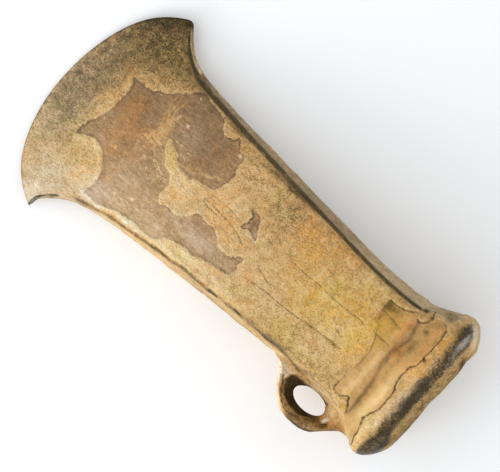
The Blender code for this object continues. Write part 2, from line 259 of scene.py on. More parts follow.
# The same along the blade's corner at +y. Painted shade along the side wall of the corner at -y, which faces away from
# the light, and painted light along the side wall of the corner at +y, which faces it
TIP_SOIL_LINE = (
    (14.9, 25.4), (15.3, 24.5), (16.0, 23.6), (16.8, 22.7), (17.6, 22.0), (18.5, 21.2), (19.6, 20.6), (20.6, 20.0),
    (21.8, 19.5), (22.7, 19.2),
)  # fmt: skip
LOOP_TIP_SHADE_LINE = (
    (13.8, -28.1), (13.75, -27.7), (13.75, -26.8), (14.0, -25.8), (14.45, -25.0), (15.5, -23.8), (16.75, -22.65),
    (17.6, -22.0),
)  # fmt: skip
TIP_LIT_LINE = ((15.0, 25.5), (15.7, 24.7), (16.4, 23.9), (17.2, 23.1), (19.0, 21.7), (21.0, 20.5), (23.1, 19.7))
SCRATCHES = (
    ((84.3, -15.5), (85.8, -15.3), (87.7, -15.0)),
    ((88.1, -13.5), (90.0, -13.5), (91.9, -13.5), (93.2, -13.8), (94.9, -14.4), (96.8, -14.4)),
    ((58.4, 2.3), (62.8, 2.2)),
    ((67.2, 2.4), (71.1, 2.3), (75.4, 2.5), (81.6, 2.5), (85.0, 2.7), (89.2, 2.8)),
    ((90.8, 2.9), (95.9, 2.9)),
    ((61.7, -7.3), (67.1, -6.5), (72.0, -6.3), (76.8, -5.9), (82.5, -5.1), (88.6, -4.5)),
    ((89.1, 7.6), (91.6, 7.7), (94.9, 7.2)),
    ((44.0, 1.4), (47.5, 1.6), (51.5, 1.4), (54.9, 1.0)),
    ((43.5, -0.4), (47.5, -0.4), (51.0, -0.7), (54.4, -1.3), (57.0, -2.5)),
    ((43.5, -1.1), (46.0, -1.3), (48.5, -1.4)),
    ((61.5, -2.7), (64.2, -4.0), (67.1, -4.6)),
    ((18.5, 9.5), (18.4, 7.9), (19.3, 5.3)),
    ((84.6, -2.6), (85.0, -1.7), (85.7, -2.6)),
    ((73.3, -8.2), (73.7, -9.3)),
)
VEINS = (
    ((23.2, 12.2), (23.6, 9.1), (24.2, 6.6), (25.3, 4.5), (25.4, 2.3)),
    ((24.5, 12.4), (24.4, 9.0), (24.9, 6.9), (26.2, 4.5), (26.7, 1.9)),
    ((25.5, 12.2), (25.4, 9.0), (26.1, 6.7), (27.4, 4.1), (28.0, 2.1)),
    ((26.7, 10.0), (26.9, 7.6), (27.8, 5.9), (28.6, 4.7)),
    ((24.8, 2.5), (25.9, 1.9), (27.1, 2.1), (28.4, 1.4)),
    ((27.5, -1.8), (29.8, -1.6), (32.0, -2.7), (34.4, -3.3)),
    ((38.3, 3.1), (39.9, 3.7), (42.1, 4.1)),
    ((40.5, 3.3), (42.5, 4.9), (44.7, 5.2)),
    ((33.5, 1.6), (35.5, 1.8), (37.9, 2.1)),
    ((29.8, 4.9), (31.3, 4.7), (34.8, 4.6)),
)
# Small bumps on the patches: x, y, radius
BUMPS = (
    (29.7, 8.9, 0.85), (30.2, 5.0, 0.4), (34.6, 4.5, 0.4), (32.8, 3.2, 0.5), (43.1, 11.7, 0.9), (19.9, 8.3, 0.35),
    (20.1, 10.2, 0.4), (20.5, -5.6, 0.5), (29.0, -1.8, 0.4), (30.8, -2.7, 0.4), (27.6, 15.5, 0.4),
)  # fmt: skip
# Soft patches of a measure: x, y, half-length, half-width, amount
# Among them the paler patches at the blade's corner at -y are partly its paler patina, partly a painted reflection of
# the light
DARKER_AND_PALER = (
    (12.0, 22.0, 6.0, 6.5, -0.53), (14.5, 26.5, 3.5, 3.0, -0.40), (17.5, 16.5, 6.0, 4.5, -0.20),
    (7.0, 11.0, 6.0, 7.0, -0.22), (5.0, 0.0, 5.0, 9.0, -0.26), (12.5, -24.0, 5.5, 4.5, 0.26),
    (13.5, -18.0, 6.0, 4.5, 0.20), (18.0, -12.0, 4.0, 3.5, 0.06), (14.0, 0.0, 3.5, 7.0, 0.10),
    (24.0, -16.0, 4.0, 2.0, 0.26), (18.0, -2.0, 6.0, 5.0, 0.12), (29.0, -11.0, 8.0, 5.0, 0.30),
    (33.0, -1.0, 5.0, 4.0, 0.15), (47.0, -8.8, 10.0, 2.5, 0.38), (46.0, -14.5, 22.0, 1.5, 0.35),
    (37.5, 9.0, 7.0, 6.0, -0.15), (29.0, 14.0, 4.0, 2.5, -0.14), (17.0, 5.0, 5.0, 6.0, -0.02),
    (10.0, 13.0, 4.0, 6.0, -0.08), (38.0, -3.0, 5.0, 4.0, 0.15), (60.5, 9.0, 3.0, 5.0, -0.15),
    (101.3, 16.2, 1.6, 1.4, -0.22), (18.0, -7.0, 3.5, 2.5, 0.16), (25.0, -17.7, 5.0, 0.8, 0.28),
    (35.0, -16.0, 5.0, 0.7, 0.28), (44.0, -15.0, 5.0, 0.6, 0.15), (26.5, 16.3, 3.0, 1.2, -0.28),
    (72.0, 12.2, 22.0, 1.2, -0.13), (89.0, -3.0, 4.0, 8.0, 0.10), (45.5, 4.0, 4.5, 4.5, 0.12),
    (2.0, 2.0, 2.0, 14.0, 0.12), (22.0, -23.0, 2.5, 2.5, -0.25), (89.0, -14.2, 5.0, 0.7, -0.22),
    (86.9, -22.2, 1.3, 0.8, -0.22), (92.0, -22.6, 2.0, 0.9, -0.25), (88.8, -23.3, 1.5, 0.8, -0.35),
    (81.5, -18.5, 2.0, 1.5, 0.08), (96.5, -19.6, 0.7, 0.7, -0.35), (32.5, 15.4, 2.5, 0.6, -0.35),
    (39.0, 15.6, 3.0, 0.6, -0.40), (56.0, 14.1, 9.0, 0.8, -0.50), (19.5, 18.3, 2.5, 1.5, -0.25),
    (38.0, -12.2, 4.0, 1.9, 0.20), (51.0, -12.4, 12.0, 0.9, 0.32), (55.0, -16.4, 14.0, 1.0, -0.15),
    (110.0, 10.6, 0.6, 1.3, -0.75), (109.3, 15.8, 1.5, 1.2, 0.25), (109.4, -13.5, 1.4, 2.5, -0.14),
    (109.0, -17.0, 2.0, 1.5, -0.25), (96.5, 13.8, 0.6, 0.5, -0.90), (103.3, 5.7, 0.35, 0.35, -0.80),
    (96.2, -20.2, 1.0, 0.8, -0.25), (95.6, -17.2, 1.3, 1.8, 0.28), (79.5, -16.5, 2.5, 1.5, 0.20),
    (58.0, 10.0, 6.0, 6.0, -0.08), (13.0, -22.0, 6.0, 5.0, -0.12), (52.0, -3.0, 8.0, 5.0, 0.10),
    (70.0, -3.0, 12.0, 8.0, 0.06), (104.1, 8.0, 0.8, 7.0, -0.05), (104.3, -2.0, 1.0, 9.0, 0.12),
    (109.4, 16.0, 1.6, 3.0, 0.58), (57.3, 1.0, 0.6, 0.4, 0.55), (55.2, 1.2, 0.5, 0.4, 0.45),
    (55.6, 2.8, 0.4, 0.8, -0.45), (54.7, 4.4, 0.4, 0.4, 0.30), (104.0, -14.0, 1.2, 4.0, 0.25),
    (109.6, 0.0, 1.3, 20.0, -0.27), (7.0, -8.0, 4.0, 7.0, -0.06), (93.5, -14.8, 2.2, 0.8, -0.08),
    (104.5, 15.1, 0.9, 1.2, -0.28), (104.5, 6.2, 0.8, 2.0, -0.20), (105.3, -0.3, 0.6, 1.5, -0.25),
    (105.1, -5.5, 0.7, 2.0, -0.18), (83.6, -3.6, 3.0, 2.5, 0.16), (94.6, -9.0, 1.5, 2.5, 0.14),
    (102.0, 16.0, 1.5, 1.2, -0.10), (18.5, 22.0, 2.5, 2.0, -0.20), (11.0, 22.0, 3.0, 2.0, -0.08),
    (25.0, 18.0, 3.0, 1.3, -0.22), (32.0, 17.0, 3.0, 1.0, -0.18), (53.0, -14.2, 5.0, 1.3, -0.22),
    (25.0, -8.0, 4.0, 4.0, 0.09), (53.0, 3.0, 3.0, 3.0, 0.09), (81.5, -16.5, 2.0, 1.2, 0.10),
    (86.3, -13.4, 1.6, 0.5, -0.42), (79.0, -15.4, 3.0, 0.8, 0.14), (96.9, -13.9, 1.2, 0.6, -0.10),
    (109.2, -15.0, 1.2, 2.5, -0.10), (89.3, -22.6, 1.6, 0.8, 0.12), (92.3, -22.2, 2.0, 0.8, 0.14),
    (84.0, -19.0, 1.0, 1.0, 0.28), (82.2, -17.3, 1.2, 1.0, 0.20), (75.2, 8.0, 1.8, 1.8, -0.12),
    (28.5, -0.7, 1.6, 1.6, 0.14), (12.4, -25.5, 2.0, 3.0, 0.24), (105.8, -15.0, 1.8, 1.6, -0.30),
    (94.3, 11.6, 1.5, 1.5, -0.12), (66.0, -13.9, 5.0, 0.7, -0.28), (73.0, -13.4, 5.0, 0.8, -0.34),
    (80.5, -12.8, 4.0, 0.9, -0.20), (88.0, -12.4, 4.5, 1.0, -0.20), (13.0, -8.1, 1.8, 2.2, 0.18),
    (8.0, 20.9, 2.5, 3.0, -0.18), (75.8, -9.0, 1.5, 1.5, 0.12), (81.3, -16.3, 1.4, 1.0, 0.20),
    (86.3, -4.9, 1.6, 0.28, -0.55), (83.8, -5.2, 0.7, 0.22, -0.40), (80.0, -5.5, 1.4, 0.35, -0.30),
    (107.4, 17.6, 1.5, 1.5, 0.28), (19.5, -21.0, 2.0, 0.9, 0.10),
)  # fmt: skip
# The same on the smooth neck alone, partly painted light: paler along the rib and where the neck rises to the collar,
# for their highlights, and darker next to the groove
NECK_DARKER_AND_PALER = (
    (89.6, 9.3, 1.0, 1.6, -0.60), (91.0, 9.4, 2.0, 1.4, -0.38), (94.0, 9.3, 2.0, 1.3, -0.10),
    (89.7, 6.3, 0.6, 0.6, -0.25), (91.0, 5.5, 2.5, 3.0, -0.08), (101.0, -7.0, 1.3, 7.0, 0.50),
    (99.0, -6.0, 1.0, 7.0, -0.10), (100.3, -15.5, 1.5, 2.0, -0.12), (95.6, -4.5, 1.0, 6.0, 0.34),
    (94.8, 7.0, 0.8, 4.0, 0.10), (99.6, 10.2, 0.6, 0.5, -0.42), (99.3, 5.5, 0.9, 1.2, -0.30),
    (98.2, 3.4, 1.2, 1.5, -0.22), (100.4, 12.8, 1.6, 1.2, -0.15), (99.8, 7.5, 3.0, 6.0, -0.16),
    (98.6, 7.9, 0.8, 1.4, 0.10), (93.5, 7.0, 1.3, 1.3, -0.24), (93.0, 0.8, 1.3, 2.0, 0.17),
    (92.8, -5.0, 1.2, 2.0, 0.14), (95.6, -11.3, 1.2, 1.3, 0.15), (101.6, -11.5, 1.2, 1.8, 0.20),
    (101.9, -5.4, 1.0, 2.0, 0.12), (100.7, 13.7, 1.5, 1.5, -0.14), (90.3, 8.6, 1.0, 1.0, 0.14),
)  # fmt: skip
WARMER_AND_GREENER = (
    (16.0, 4.0, 4.0, 7.0, 0.60), (24.0, 10.0, 3.0, 4.0, 0.50), (18.5, 5.5, 3.5, 4.0, 0.40), (40.0, 9.5, 3.0, 2.5, 0.55),
    (38.0, 5.0, 2.5, 1.5, 0.40), (33.0, 8.0, 2.5, 3.0, -0.15), (20.5, -6.0, 3.0, 2.5, 0.35),
    (104.0, -2.0, 0.9, 12.0, 0.15), (96.6, -19.8, 1.2, 1.0, 0.95), (92.0, -3.0, 3.0, 8.0, 0.25),
    (20.0, -2.0, 5.0, 5.0, 0.35), (30.4, 2.6, 2.2, 2.2, -0.75), (34.0, 0.0, 2.6, 1.6, -0.55),
    (68.0, 8.5, 7.0, 4.5, 0.85), (75.0, 12.0, 5.0, 1.5, 0.40), (68.0, -1.5, 6.0, 3.0, 0.35),
    (80.0, -10.5, 12.0, 3.0, -0.45), (78.8, 5.1, 1.5, 1.8, -0.70), (60.4, 8.5, 2.5, 4.5, -0.60),
    (87.0, 4.6, 3.0, 2.5, 0.30), (89.5, 6.3, 0.8, 0.8, 0.90), (91.0, 9.5, 2.5, 2.0, -0.70),
    (93.0, 5.0, 1.5, 2.0, -0.35), (95.6, 8.0, 0.8, 4.0, 0.70), (97.9, 3.4, 1.5, 2.0, 0.60),
    (101.5, 7.0, 1.2, 6.0, 0.35), (99.3, 5.5, 1.0, 1.2, -0.40), (104.0, 12.0, 1.0, 4.0, 0.70),
    (104.1, 5.0, 0.8, 6.0, 0.40), (101.1, 16.2, 2.6, 1.6, -0.15), (95.9, -18.5, 1.6, 2.2, 0.95),
    (105.6, -11.6, 0.7, 0.5, -0.90), (110.0, 10.6, 0.6, 1.3, 0.90), (81.5, -18.5, 3.0, 3.0, 0.45),
    (84.5, 9.3, 2.0, 1.3, -0.25), (52.0, -1.0, 10.0, 5.0, 0.30), (44.0, 14.0, 12.0, 2.0, 0.30),
    (47.0, 8.0, 6.0, 4.0, 0.15), (109.5, 0.0, 1.2, 20.0, -0.40), (3.0, -8.0, 3.0, 8.0, -0.20),
)  # fmt: skip
# Among them the greyer patches at the blade's corner at -y are partly its paler patina, partly a painted reflection of
# the light
YELLOWER_AND_GREYER = (
    (5.0, 5.0, 6.0, 14.0, 0.60), (13.0, 24.0, 7.0, 6.0, 0.20), (13.0, -22.0, 7.0, 7.0, 0.95),
    (5.0, -9.0, 5.0, 9.0, 0.80), (25.0, -17.7, 5.0, 0.8, 0.50), (35.0, -16.0, 5.0, 0.7, 0.50),
    (2.0, 4.0, 2.5, 12.0, 0.60), (22.0, -21.0, 3.0, 2.5, 0.60), (31.5, 7.0, 3.5, 4.0, 0.45),
    (28.0, -8.0, 4.0, 3.0, 0.25), (89.0, -1.0, 3.5, 6.0, -0.35), (50.0, -12.4, 14.0, 1.2, 0.20),
    (38.0, -12.2, 4.0, 1.9, 0.25), (81.5, -18.5, 3.0, 3.0, 0.40), (40.0, 8.0, 9.0, 8.0, 0.10),
    (45.0, -15.0, 15.0, 1.5, 0.25), (80.0, 1.0, 12.0, 8.0, -0.55), (68.0, 8.5, 7.0, 4.0, -0.20),
    (84.5, 9.3, 2.2, 1.4, -0.50), (104.0, 12.0, 1.2, 4.0, -0.60), (101.1, 16.2, 2.6, 1.6, 0.65),
    (106.8, 17.8, 1.8, 1.8, 1.30), (88.8, 5.8, 1.2, 1.5, 0.30), (92.5, 6.5, 3.0, 5.0, -0.60),
    (96.9, -13.9, 1.6, 0.8, -0.60), (102.3, -19.0, 2.0, 2.0, 0.80), (57.3, 1.0, 0.7, 0.5, 0.90),
    (99.5, -4.0, 4.0, 9.0, -0.25), (31.5, 1.2, 4.0, 3.0, -0.35), (24.0, -15.0, 4.0, 3.0, 0.45),
    (48.0, -8.0, 12.0, 2.5, 0.45), (105.2, -6.0, 1.2, 6.0, 0.50), (60.5, 9.0, 3.0, 5.0, 0.25),
    (12.4, -25.5, 2.5, 3.5, 1.00),
)  # fmt: skip
# Dark hollows between pale grains
SPECKLED = (
    (6.0, 4.0, 7.0, 12.0, 0.30), (13.0, 20.0, 9.0, 8.0, 0.90), (20.0, 14.0, 5.0, 3.0, 0.30),
    (14.5, -13.0, 4.0, 4.0, 0.25), (53.0, 1.0, 4.0, 1.5, 0.30), (17.0, -14.0, 4.0, 4.0, 0.25),
    (60.5, 9.0, 3.0, 5.0, 0.45), (50.0, 9.0, 5.0, 5.0, 0.20), (80.0, -9.0, 12.0, 4.0, 0.30),
    (52.0, 11.0, 6.0, 4.0, 0.25), (50.0, -14.0, 8.0, 1.5, 0.20), (109.5, 0.0, 1.5, 20.0, 0.50),
    (13.0, -22.0, 5.0, 5.0, -0.40), (91.5, -22.4, 3.0, 0.9, 0.60),
)  # fmt: skip
# A film of crust left on the bare patches
FILMED = (
    (25.5, 8.0, 2.0, 5.0, 0.30), (26.4, 6.3, 1.2, 3.5, 0.18), (26.5, 3.0, 2.5, 3.0, 0.30), (30.0, -6.0, 5.0, 6.0, 0.16),
    (33.0, -13.0, 7.0, 2.0, 0.22), (41.0, 3.0, 4.0, 1.4, 0.25), (44.0, -10.0, 6.0, 2.0, 0.10),
    (30.8, -12.0, 1.4, 1.4, 0.12), (40.5, -12.8, 1.8, 1.4, 0.16), (25.0, -4.0, 5.0, 6.0, 0.14),
    (22.5, 2.0, 4.0, 3.0, 0.10), (20.4, -5.4, 0.7, 0.5, 0.45), (31.0, -3.0, 3.0, 2.0, 0.12),
    (17.5, 10.0, 1.5, 0.8, 0.22),
)  # fmt: skip
# Where a dark line runs round the bare patches
SEAMED = (
    (18.0, 10.0, 7.0, 3.0, 1.0), (30.0, 16.0, 7.0, 3.0, 1.0), (39.5, 13.5, 5.0, 3.0, 0.8), (45.0, 6.5, 1.8, 4.0, 0.7),
    (11.5, -6.0, 1.6, 3.0, 1.0), (14.0, 3.0, 1.0, 6.0, 0.35), (46.0, -4.0, 4.0, 1.0, 0.7), (57.0, -5.5, 3.0, 3.0, 0.7),
    (55.5, 3.0, 4.0, 4.0, 0.9), (38.0, -8.0, 3.0, 1.0, 0.6),
)  # fmt: skip
# Painted highlights: pale reflections of the light on the collar's crest, on the loop's root and along the blade
PAINTED_HIGHLIGHTS = (
    (107.0, 14.4, 0.6, 1.9, 0.95), (107.4, 10.5, 0.6, 3.0, 0.42), (105.6, -1.5, 0.6, 5.5, 0.30),
    (106.5, -4.5, 0.6, 2.5, 0.18), (104.7, -11.3, 0.5, 1.1, 0.80), (105.3, -14.0, 0.5, 1.2, 0.30),
    (95.40, -19.55, 0.30, 0.45, 1.70), (95.68, -19.00, 0.32, 0.50, 2.50), (95.95, -18.45, 0.28, 0.40, 1.70),
    (14.5, -27.0, 2.0, 2.0, 0.50), (26.0, -16.4, 2.2, 0.6, 0.22), (46.0, -8.0, 8.0, 0.6, 0.22),
    (49.0, -14.3, 8.0, 0.5, 0.40),
)  # fmt: skip
# Dents in the rim: x, y, radius, depth
DENTS = (
    (110.0, 11.2, 1.6, 0.45),
    (110.0, -1.0, 2.6, 0.30),
    (110.0, -15.5, 2.0, 0.25),
)
CREST = (104.9, 107.9)  # x of the collar's worn crest
FAR = 3.0  # a distance at which no mark shows any more
# What counts as lining the socket, in metres beyond its sides and end and inside its rim
SOCKET_MARGIN = 0.0008
SOCKET_END_MARGIN = 0.0005
RIM_MARGIN = 0.00001


# ---------------------------------------------------------------- settings
class AxeSettings(bpy.types.PropertyGroup):
    """Sizes and colours of the axe head's skin"""

    crust_height: FloatProperty(
        name="Crust height", description="Height of the crust over the flaked patches", default=0.00028, unit="LENGTH"
    )
    roughness_height: FloatProperty(
        name="Crust lumps", description="Height of the lumps on the crust", default=0.00009, unit="LENGTH"
    )
    warm_tint: FloatVectorProperty(
        name="Warm tint", description="What the warmer places are tinted with", default=(1.02, 0.85, 0.66),
        min=0.0, max=2.0,
    )
    green_tint: FloatVectorProperty(
        name="Green tint", description="What the greener places are tinted with", default=(0.98, 1.06, 0.85),
        min=0.0, max=2.0,
    )
    grey_tint: FloatVectorProperty(
        name="Grey tint", description="What the greyer places are tinted with", default=(0.93, 1.06, 1.41),
        min=0.0, max=2.0,
    )
    yellow_tint: FloatVectorProperty(
        name="Yellow tint", description="What the yellower places are tinted with", default=(1.0, 1.0, 0.55),
        min=0.0, max=2.0,
    )


class StageSettings(bpy.types.PropertyGroup):
    """Floor and light of the stage"""

    floor_size: FloatProperty(name="Floor", description="Side of the floor", default=6.0, unit="LENGTH")
    floor_colour: FloatVectorProperty(
        name="Floor colour", description="Colour of the floor", default=(0.910, 0.920, 0.935), subtype="COLOR"
    )
    floor_glow: FloatProperty(name="Floor glow", description="How much the floor glows in the shadows", default=0.07)
    key_power: FloatProperty(name="Key light", description="Power of the key light", default=3.9, unit="POWER")
    low_power: FloatProperty(name="Low light", description="Power of the low light", default=3.4, unit="POWER")
    fill_power: FloatProperty(name="Fill light", description="Power of the fill light", default=1.1, unit="POWER")
    sky: FloatProperty(name="Sky", description="Brightness of the surrounding light", default=0.67)


# ---------------------------------------------------------------- shape
def eased(points, x):
    """Smooth value at x of a curve through (x, value) points, with no overshoot between them."""
    if x <= points[0][0]:
        return points[0][1]
    if x >= points[-1][0]:
        return points[-1][1]
    steps = [(b[1] - a[1]) / (b[0] - a[0]) for a, b in zip(points, points[1:])]
    slopes = [steps[0]]
    for before, after in zip(steps, steps[1:]):
        slopes.append(2 * before * after / (before + after) if before * after > 0 else 0.0)
    slopes.append(steps[-1])
    i = max(k for k in range(len(points) - 1) if points[k][0] <= x)
    (x0, v0), (x1, v1) = points[i], points[i + 1]
    span = x1 - x0
    t = (x - x0) / span
    return (
        v0 * (2 * t**3 - 3 * t**2 + 1)
        + span * slopes[i] * (t**3 - 2 * t**2 + t)
        + v1 * (3 * t**2 - 2 * t**3)
        + span * slopes[i + 1] * (t**3 - t**2)
    )


def spline(points, i, t):
    """Catmull-Rom point between points[i] and points[i + 1]."""
    last = len(points) - 1
    a, b, c, d = (Vector(points[min(max(k, 0), last)]) for k in (i - 1, i, i + 1, i + 2))
    return (
        2 * b + (c - a) * t + (2 * a - 5 * b + 4 * c - d) * t**2 + (3 * b - a - 3 * c + d) * t**3
    ) / 2


def quarter_section(half_width, half_height, draft, radius):
    """(y, z) points of a quarter section, from the seam over the rounded arris to the middle of the face."""
    corner = Vector((half_width - draft * half_height, half_height))
    seam = Vector((half_width, 0.0))
    along_side = (corner - seam).normalized()
    turn = math.pi / 2 - math.atan(draft)
    reach = min(radius * math.tan(turn / 2), MOST_ARRIS_SHARE * half_height, MOST_ARRIS_SHARE * corner.x)
    radius = reach / math.tan(turn / 2)
    start = corner - along_side * reach
    centre = Vector((corner.x - reach, half_height - radius))
    first = math.atan2(start.y - centre.y, start.x - centre.x)
    points = [seam.lerp(start, k / SIDE_POINTS) for k in range(SIDE_POINTS)]
    for k in range(ARRIS_POINTS):
        angle = first + (math.pi / 2 - first) * k / (ARRIS_POINTS - 1)
        points.append(centre + radius * Vector((math.cos(angle), math.sin(angle))))
    face_end = points[-1].x
    points += [Vector((face_end * (1 - k / FACE_POINTS), half_height)) for k in range(1, FACE_POINTS + 1)]
    return points


def ring_of(plus_side, minus_side):
    """A closed ring of (y, z) from a quarter section for each side: over the top, then back underneath."""
    top = [(p.x, p.y) for p in plus_side] + [(-p.x, p.y) for p in reversed(minus_side[:-1])]
    return top + [(y, -z) for y, z in reversed(top[1:-1])]


def rib(x, y, half_face):
    """Height of the low rib, which dies away towards the arrises."""
    across = (x - RIB_X) / RIB_HALF_WIDTH
    if abs(across) >= 1 or abs(y) >= half_face:
        return 0.0
    fade = 1 - (y / half_face) ** RIB_FADE_POWER
    return RIB_HEIGHT * fade * (1 + math.cos(math.pi * across)) / 2


def edge_curve(share):
    """How far a row has swept back, from 0 to 1, at a share of the way from its apex to its end."""
    return EDGE_BOW[0] * share ** EDGE_BOW[1] + EDGE_HOOK[0] * share ** EDGE_HOOK[1]


def outer_row(middle_x, plus_end, minus_end):
    """One ring of the outer surface, from its middle and the ends of its row on either side."""
    side_flare, face_flare = eased(SIDE_FLARE, middle_x), eased(FACE_FLARE, middle_x)
    half_height = eased(BODY_THICKNESS, middle_x) + face_flare
    radius = min(ARRIS_RADIUS, BLADE_ARRIS_SHARE * half_height) + COLLAR_ROUNDING * max(0.0, face_flare)
    draft = SIDE_DRAFT * ARRIS_RADIUS / max(radius, ARRIS_RADIUS)
    half_widths = (plus_end[1] + side_flare, minus_end[1] + side_flare)
    sides = [quarter_section(half_width, half_height, draft, radius) for half_width in half_widths]
    points = []
    for y, z in ring_of(*sides):
        side = sides[0] if y >= 0 else sides[1]
        end, reach = (plus_end, sides[0][0].x) if y > EDGE_APEX_Y else (minus_end, -sides[1][0].x)
        x = middle_x + (end[0] - middle_x) * edge_curve((y - EDGE_APEX_Y) / (reach - EDGE_APEX_Y))
        half_face = side[SIDE_POINTS + ARRIS_POINTS - 1].x
        bulge = FACE_CROWN * min(1.0, half_height / ARRIS_RADIUS) * max(0.0, 1 - (y / half_face) ** 2)
        bulge += rib(x, y, half_face)
        if z == 0 and 0 < middle_x < FACE_FLARE[0][0]:
            y += math.copysign(SEAM_FLASH, y)
        points.append(Vector((x, y, z + math.copysign(bulge, z) if z else z)))
    return points


def outer_rows():
    """Every ring of the outer surface, from the cutting edge to the rim of the mouth."""
    middles, plus, minus = zip(*STATIONS)
    middle_points = [(x, 0.0) for x in middles]
    wanted = [BODY_START * k / BLADE_ROWS for k in range(BLADE_ROWS)]
    wanted += [BODY_START + (COLLAR_START - BODY_START) * k / BODY_ROWS for k in range(BODY_ROWS)]
    wanted += [COLLAR_START + (LENGTH - COLLAR_START) * k / COLLAR_ROWS for k in range(COLLAR_ROWS + 1)]
    rows = []
    for x in wanted:
        if x >= middles[-1]:
            rows.append((x, Vector((x, plus[-1][1])), Vector((x, minus[-1][1]))))
            continue
        i = max(k for k in range(len(middles) - 1) if middles[k] <= x)
        low, high = 0.0, 1.0
        for _ in range(HALVINGS):
            t = (low + high) / 2
            if spline(middle_points, i, t).x < x:
                low = t
            else:
                high = t
        rows.append((x, spline(plus, i, t), spline(minus, i, t)))
    return [outer_row(*row) for row in rows]


def socket_size(depth):
    """Half-width and half-height of the socket at a depth below the mouth."""
    share = depth / SOCKET_DEPTH
    return (
        MOUTH_HALF_WIDTH + (SOCKET_END_HALF_WIDTH - MOUTH_HALF_WIDTH) * share,
        MOUTH_HALF_HEIGHT + (SOCKET_END_HALF_HEIGHT - MOUTH_HALF_HEIGHT) * share,
    )


def socket_row(depth, inset=0.0):
    """One ring of the socket at a depth below the mouth, drawn in by inset."""
    half_width, half_height = socket_size(depth)
    ease = MOUTH_EASE * max(0.0, 1 - depth / (2 * MOUTH_EASE)) ** 2 - inset
    corner = SOCKET_CORNER * (1 - SOCKET_CORNER_TAPER * depth / SOCKET_DEPTH)
    side = quarter_section(half_width + ease, half_height + ease, SOCKET_DRAFT, corner)
    return [Vector((LENGTH - depth, y, z)) for y, z in ring_of(side, side)]


def socket_rows():
    """The rings of the socket, from the mouth down to its rounded end."""
    straight = SOCKET_DEPTH - SOCKET_END_ROUNDING
    lip = 2 * MOUTH_EASE
    depths = [lip * k / LIP_ROWS for k in range(LIP_ROWS)]
    shares = [(k / SOCKET_ROWS) ** SOCKET_ROW_SPREAD for k in range(SOCKET_ROWS + 1)]
    depths += [lip + (straight - lip) * share for share in shares]
    rows = [socket_row(depth) for depth in depths]
    for angle in map(math.radians, SOCKET_END_TURNS):
        inset = SOCKET_END_ROUNDING * (1 - math.cos(angle))
        rows.append(socket_row(straight + SOCKET_END_ROUNDING * math.sin(angle), inset))
    return rows


def rolled(rows, endless=False):
    """A bmesh skin through rings of equal length, made from a grid that is rolled up into a tube."""
    bm = bmesh.new()
    around = len(rows[0])
    along = len(rows) if endless else len(rows) - 1
    bmesh.ops.create_grid(bm, x_segments=around, y_segments=along, size=1)
    for vertex in bm.verts:
        column = round((vertex.co.x + 1) / 2 * around) % around
        row = round((vertex.co.y + 1) / 2 * along) % len(rows)
        vertex.co = rows[row][column]
    bmesh.ops.remove_doubles(bm, verts=bm.verts, dist=SAME_PLACE)
    if not endless:
        close_ends(bm, rows)
    bmesh.ops.recalc_face_normals(bm, faces=bm.faces)
    return bm


def close_ends(bm, rows):
    """Closes both open ends of a skin, between the upper half and the lower half of the end ring."""
    for side in (rows[0], rows[-1]):
        x_low = min(p.x for p in side) - RING_MARGIN
        x_high = max(p.x for p in side) + RING_MARGIN
        rim = [e for e in bm.edges if e.is_boundary and all(x_low < v.co.x < x_high for v in e.verts)]
        spanning = [e for e in rim if all(abs(v.co.z) > SAME_PLACE for v in e.verts)]
        bmesh.ops.bridge_loops(bm, edges=spanning)
    bmesh.ops.holes_fill(bm, edges=[e for e in bm.edges if e.is_boundary], sides=0)


def loop_section(outer):
    """One section of the strap: from a point of its outline, inwards to the hole."""
    inward = LOOP_CENTRE - outer
    distance = inward.length
    inward.normalize()

    def from_centre(half_axes):
        return distance - 1 / math.hypot(inward.x / half_axes[0], inward.y / half_axes[1])

    hole, hole_face = from_centre(LOOP_HOLE), from_centre(LOOP_HOLE_FACE)
    half_width = LOOP_HALF_WIDTH - LOOP_ROOT_TAPER * max(0.0, outer.y - LOOP_CENTRE.y)
    upper = (*LOOP_BACK, (hole_face / 2, 1.0), (hole_face, 0.85), ((hole + hole_face) / 2, 0.4), (hole, 0.0))
    upper = [(depth, share * half_width) for depth, share in upper]
    closed = upper + [(depth, -height) for depth, height in reversed(upper[1:-1])]
    count = len(closed)
    section = []
    for i in range(count):
        around = [closed[(i + k) % count] for k in (-1, 0, 1, 2)]
        section += [spline(around, 1, k / LOOP_SECTION_STEPS) for k in range(LOOP_SECTION_STEPS)]
    return [Vector((*(outer + inward * p.x), p.y)) for p in section]


def loop_rows():
    """The rings of the strap, closed round its hole by a part that lies inside the body."""
    count = len(LOOP_OUTLINE)
    rows = []
    for i in range(count):
        around = [LOOP_OUTLINE[(i + k) % count] for k in (-1, 0, 1, 2)]
        for k in range(LOOP_ROWS_PER_POINT):
            rows.append(loop_section(spline(around, 1, k / LOOP_ROWS_PER_POINT)))
    return rows


def mesh_of(bm, name):
    """A mesh from a bmesh, which is freed."""
    mesh = bpy.data.meshes.new(name)
    bm.to_mesh(mesh)
    bm.free()
    return mesh


def new_object(name, mesh):
    made = bpy.data.objects.new(name, mesh)
    bpy.context.scene.collection.objects.link(made)
    return made


def surface_of(mesh):
    return BVHTree.FromPolygons([v.co for v in mesh.vertices], [p.vertices for p in mesh.polygons])


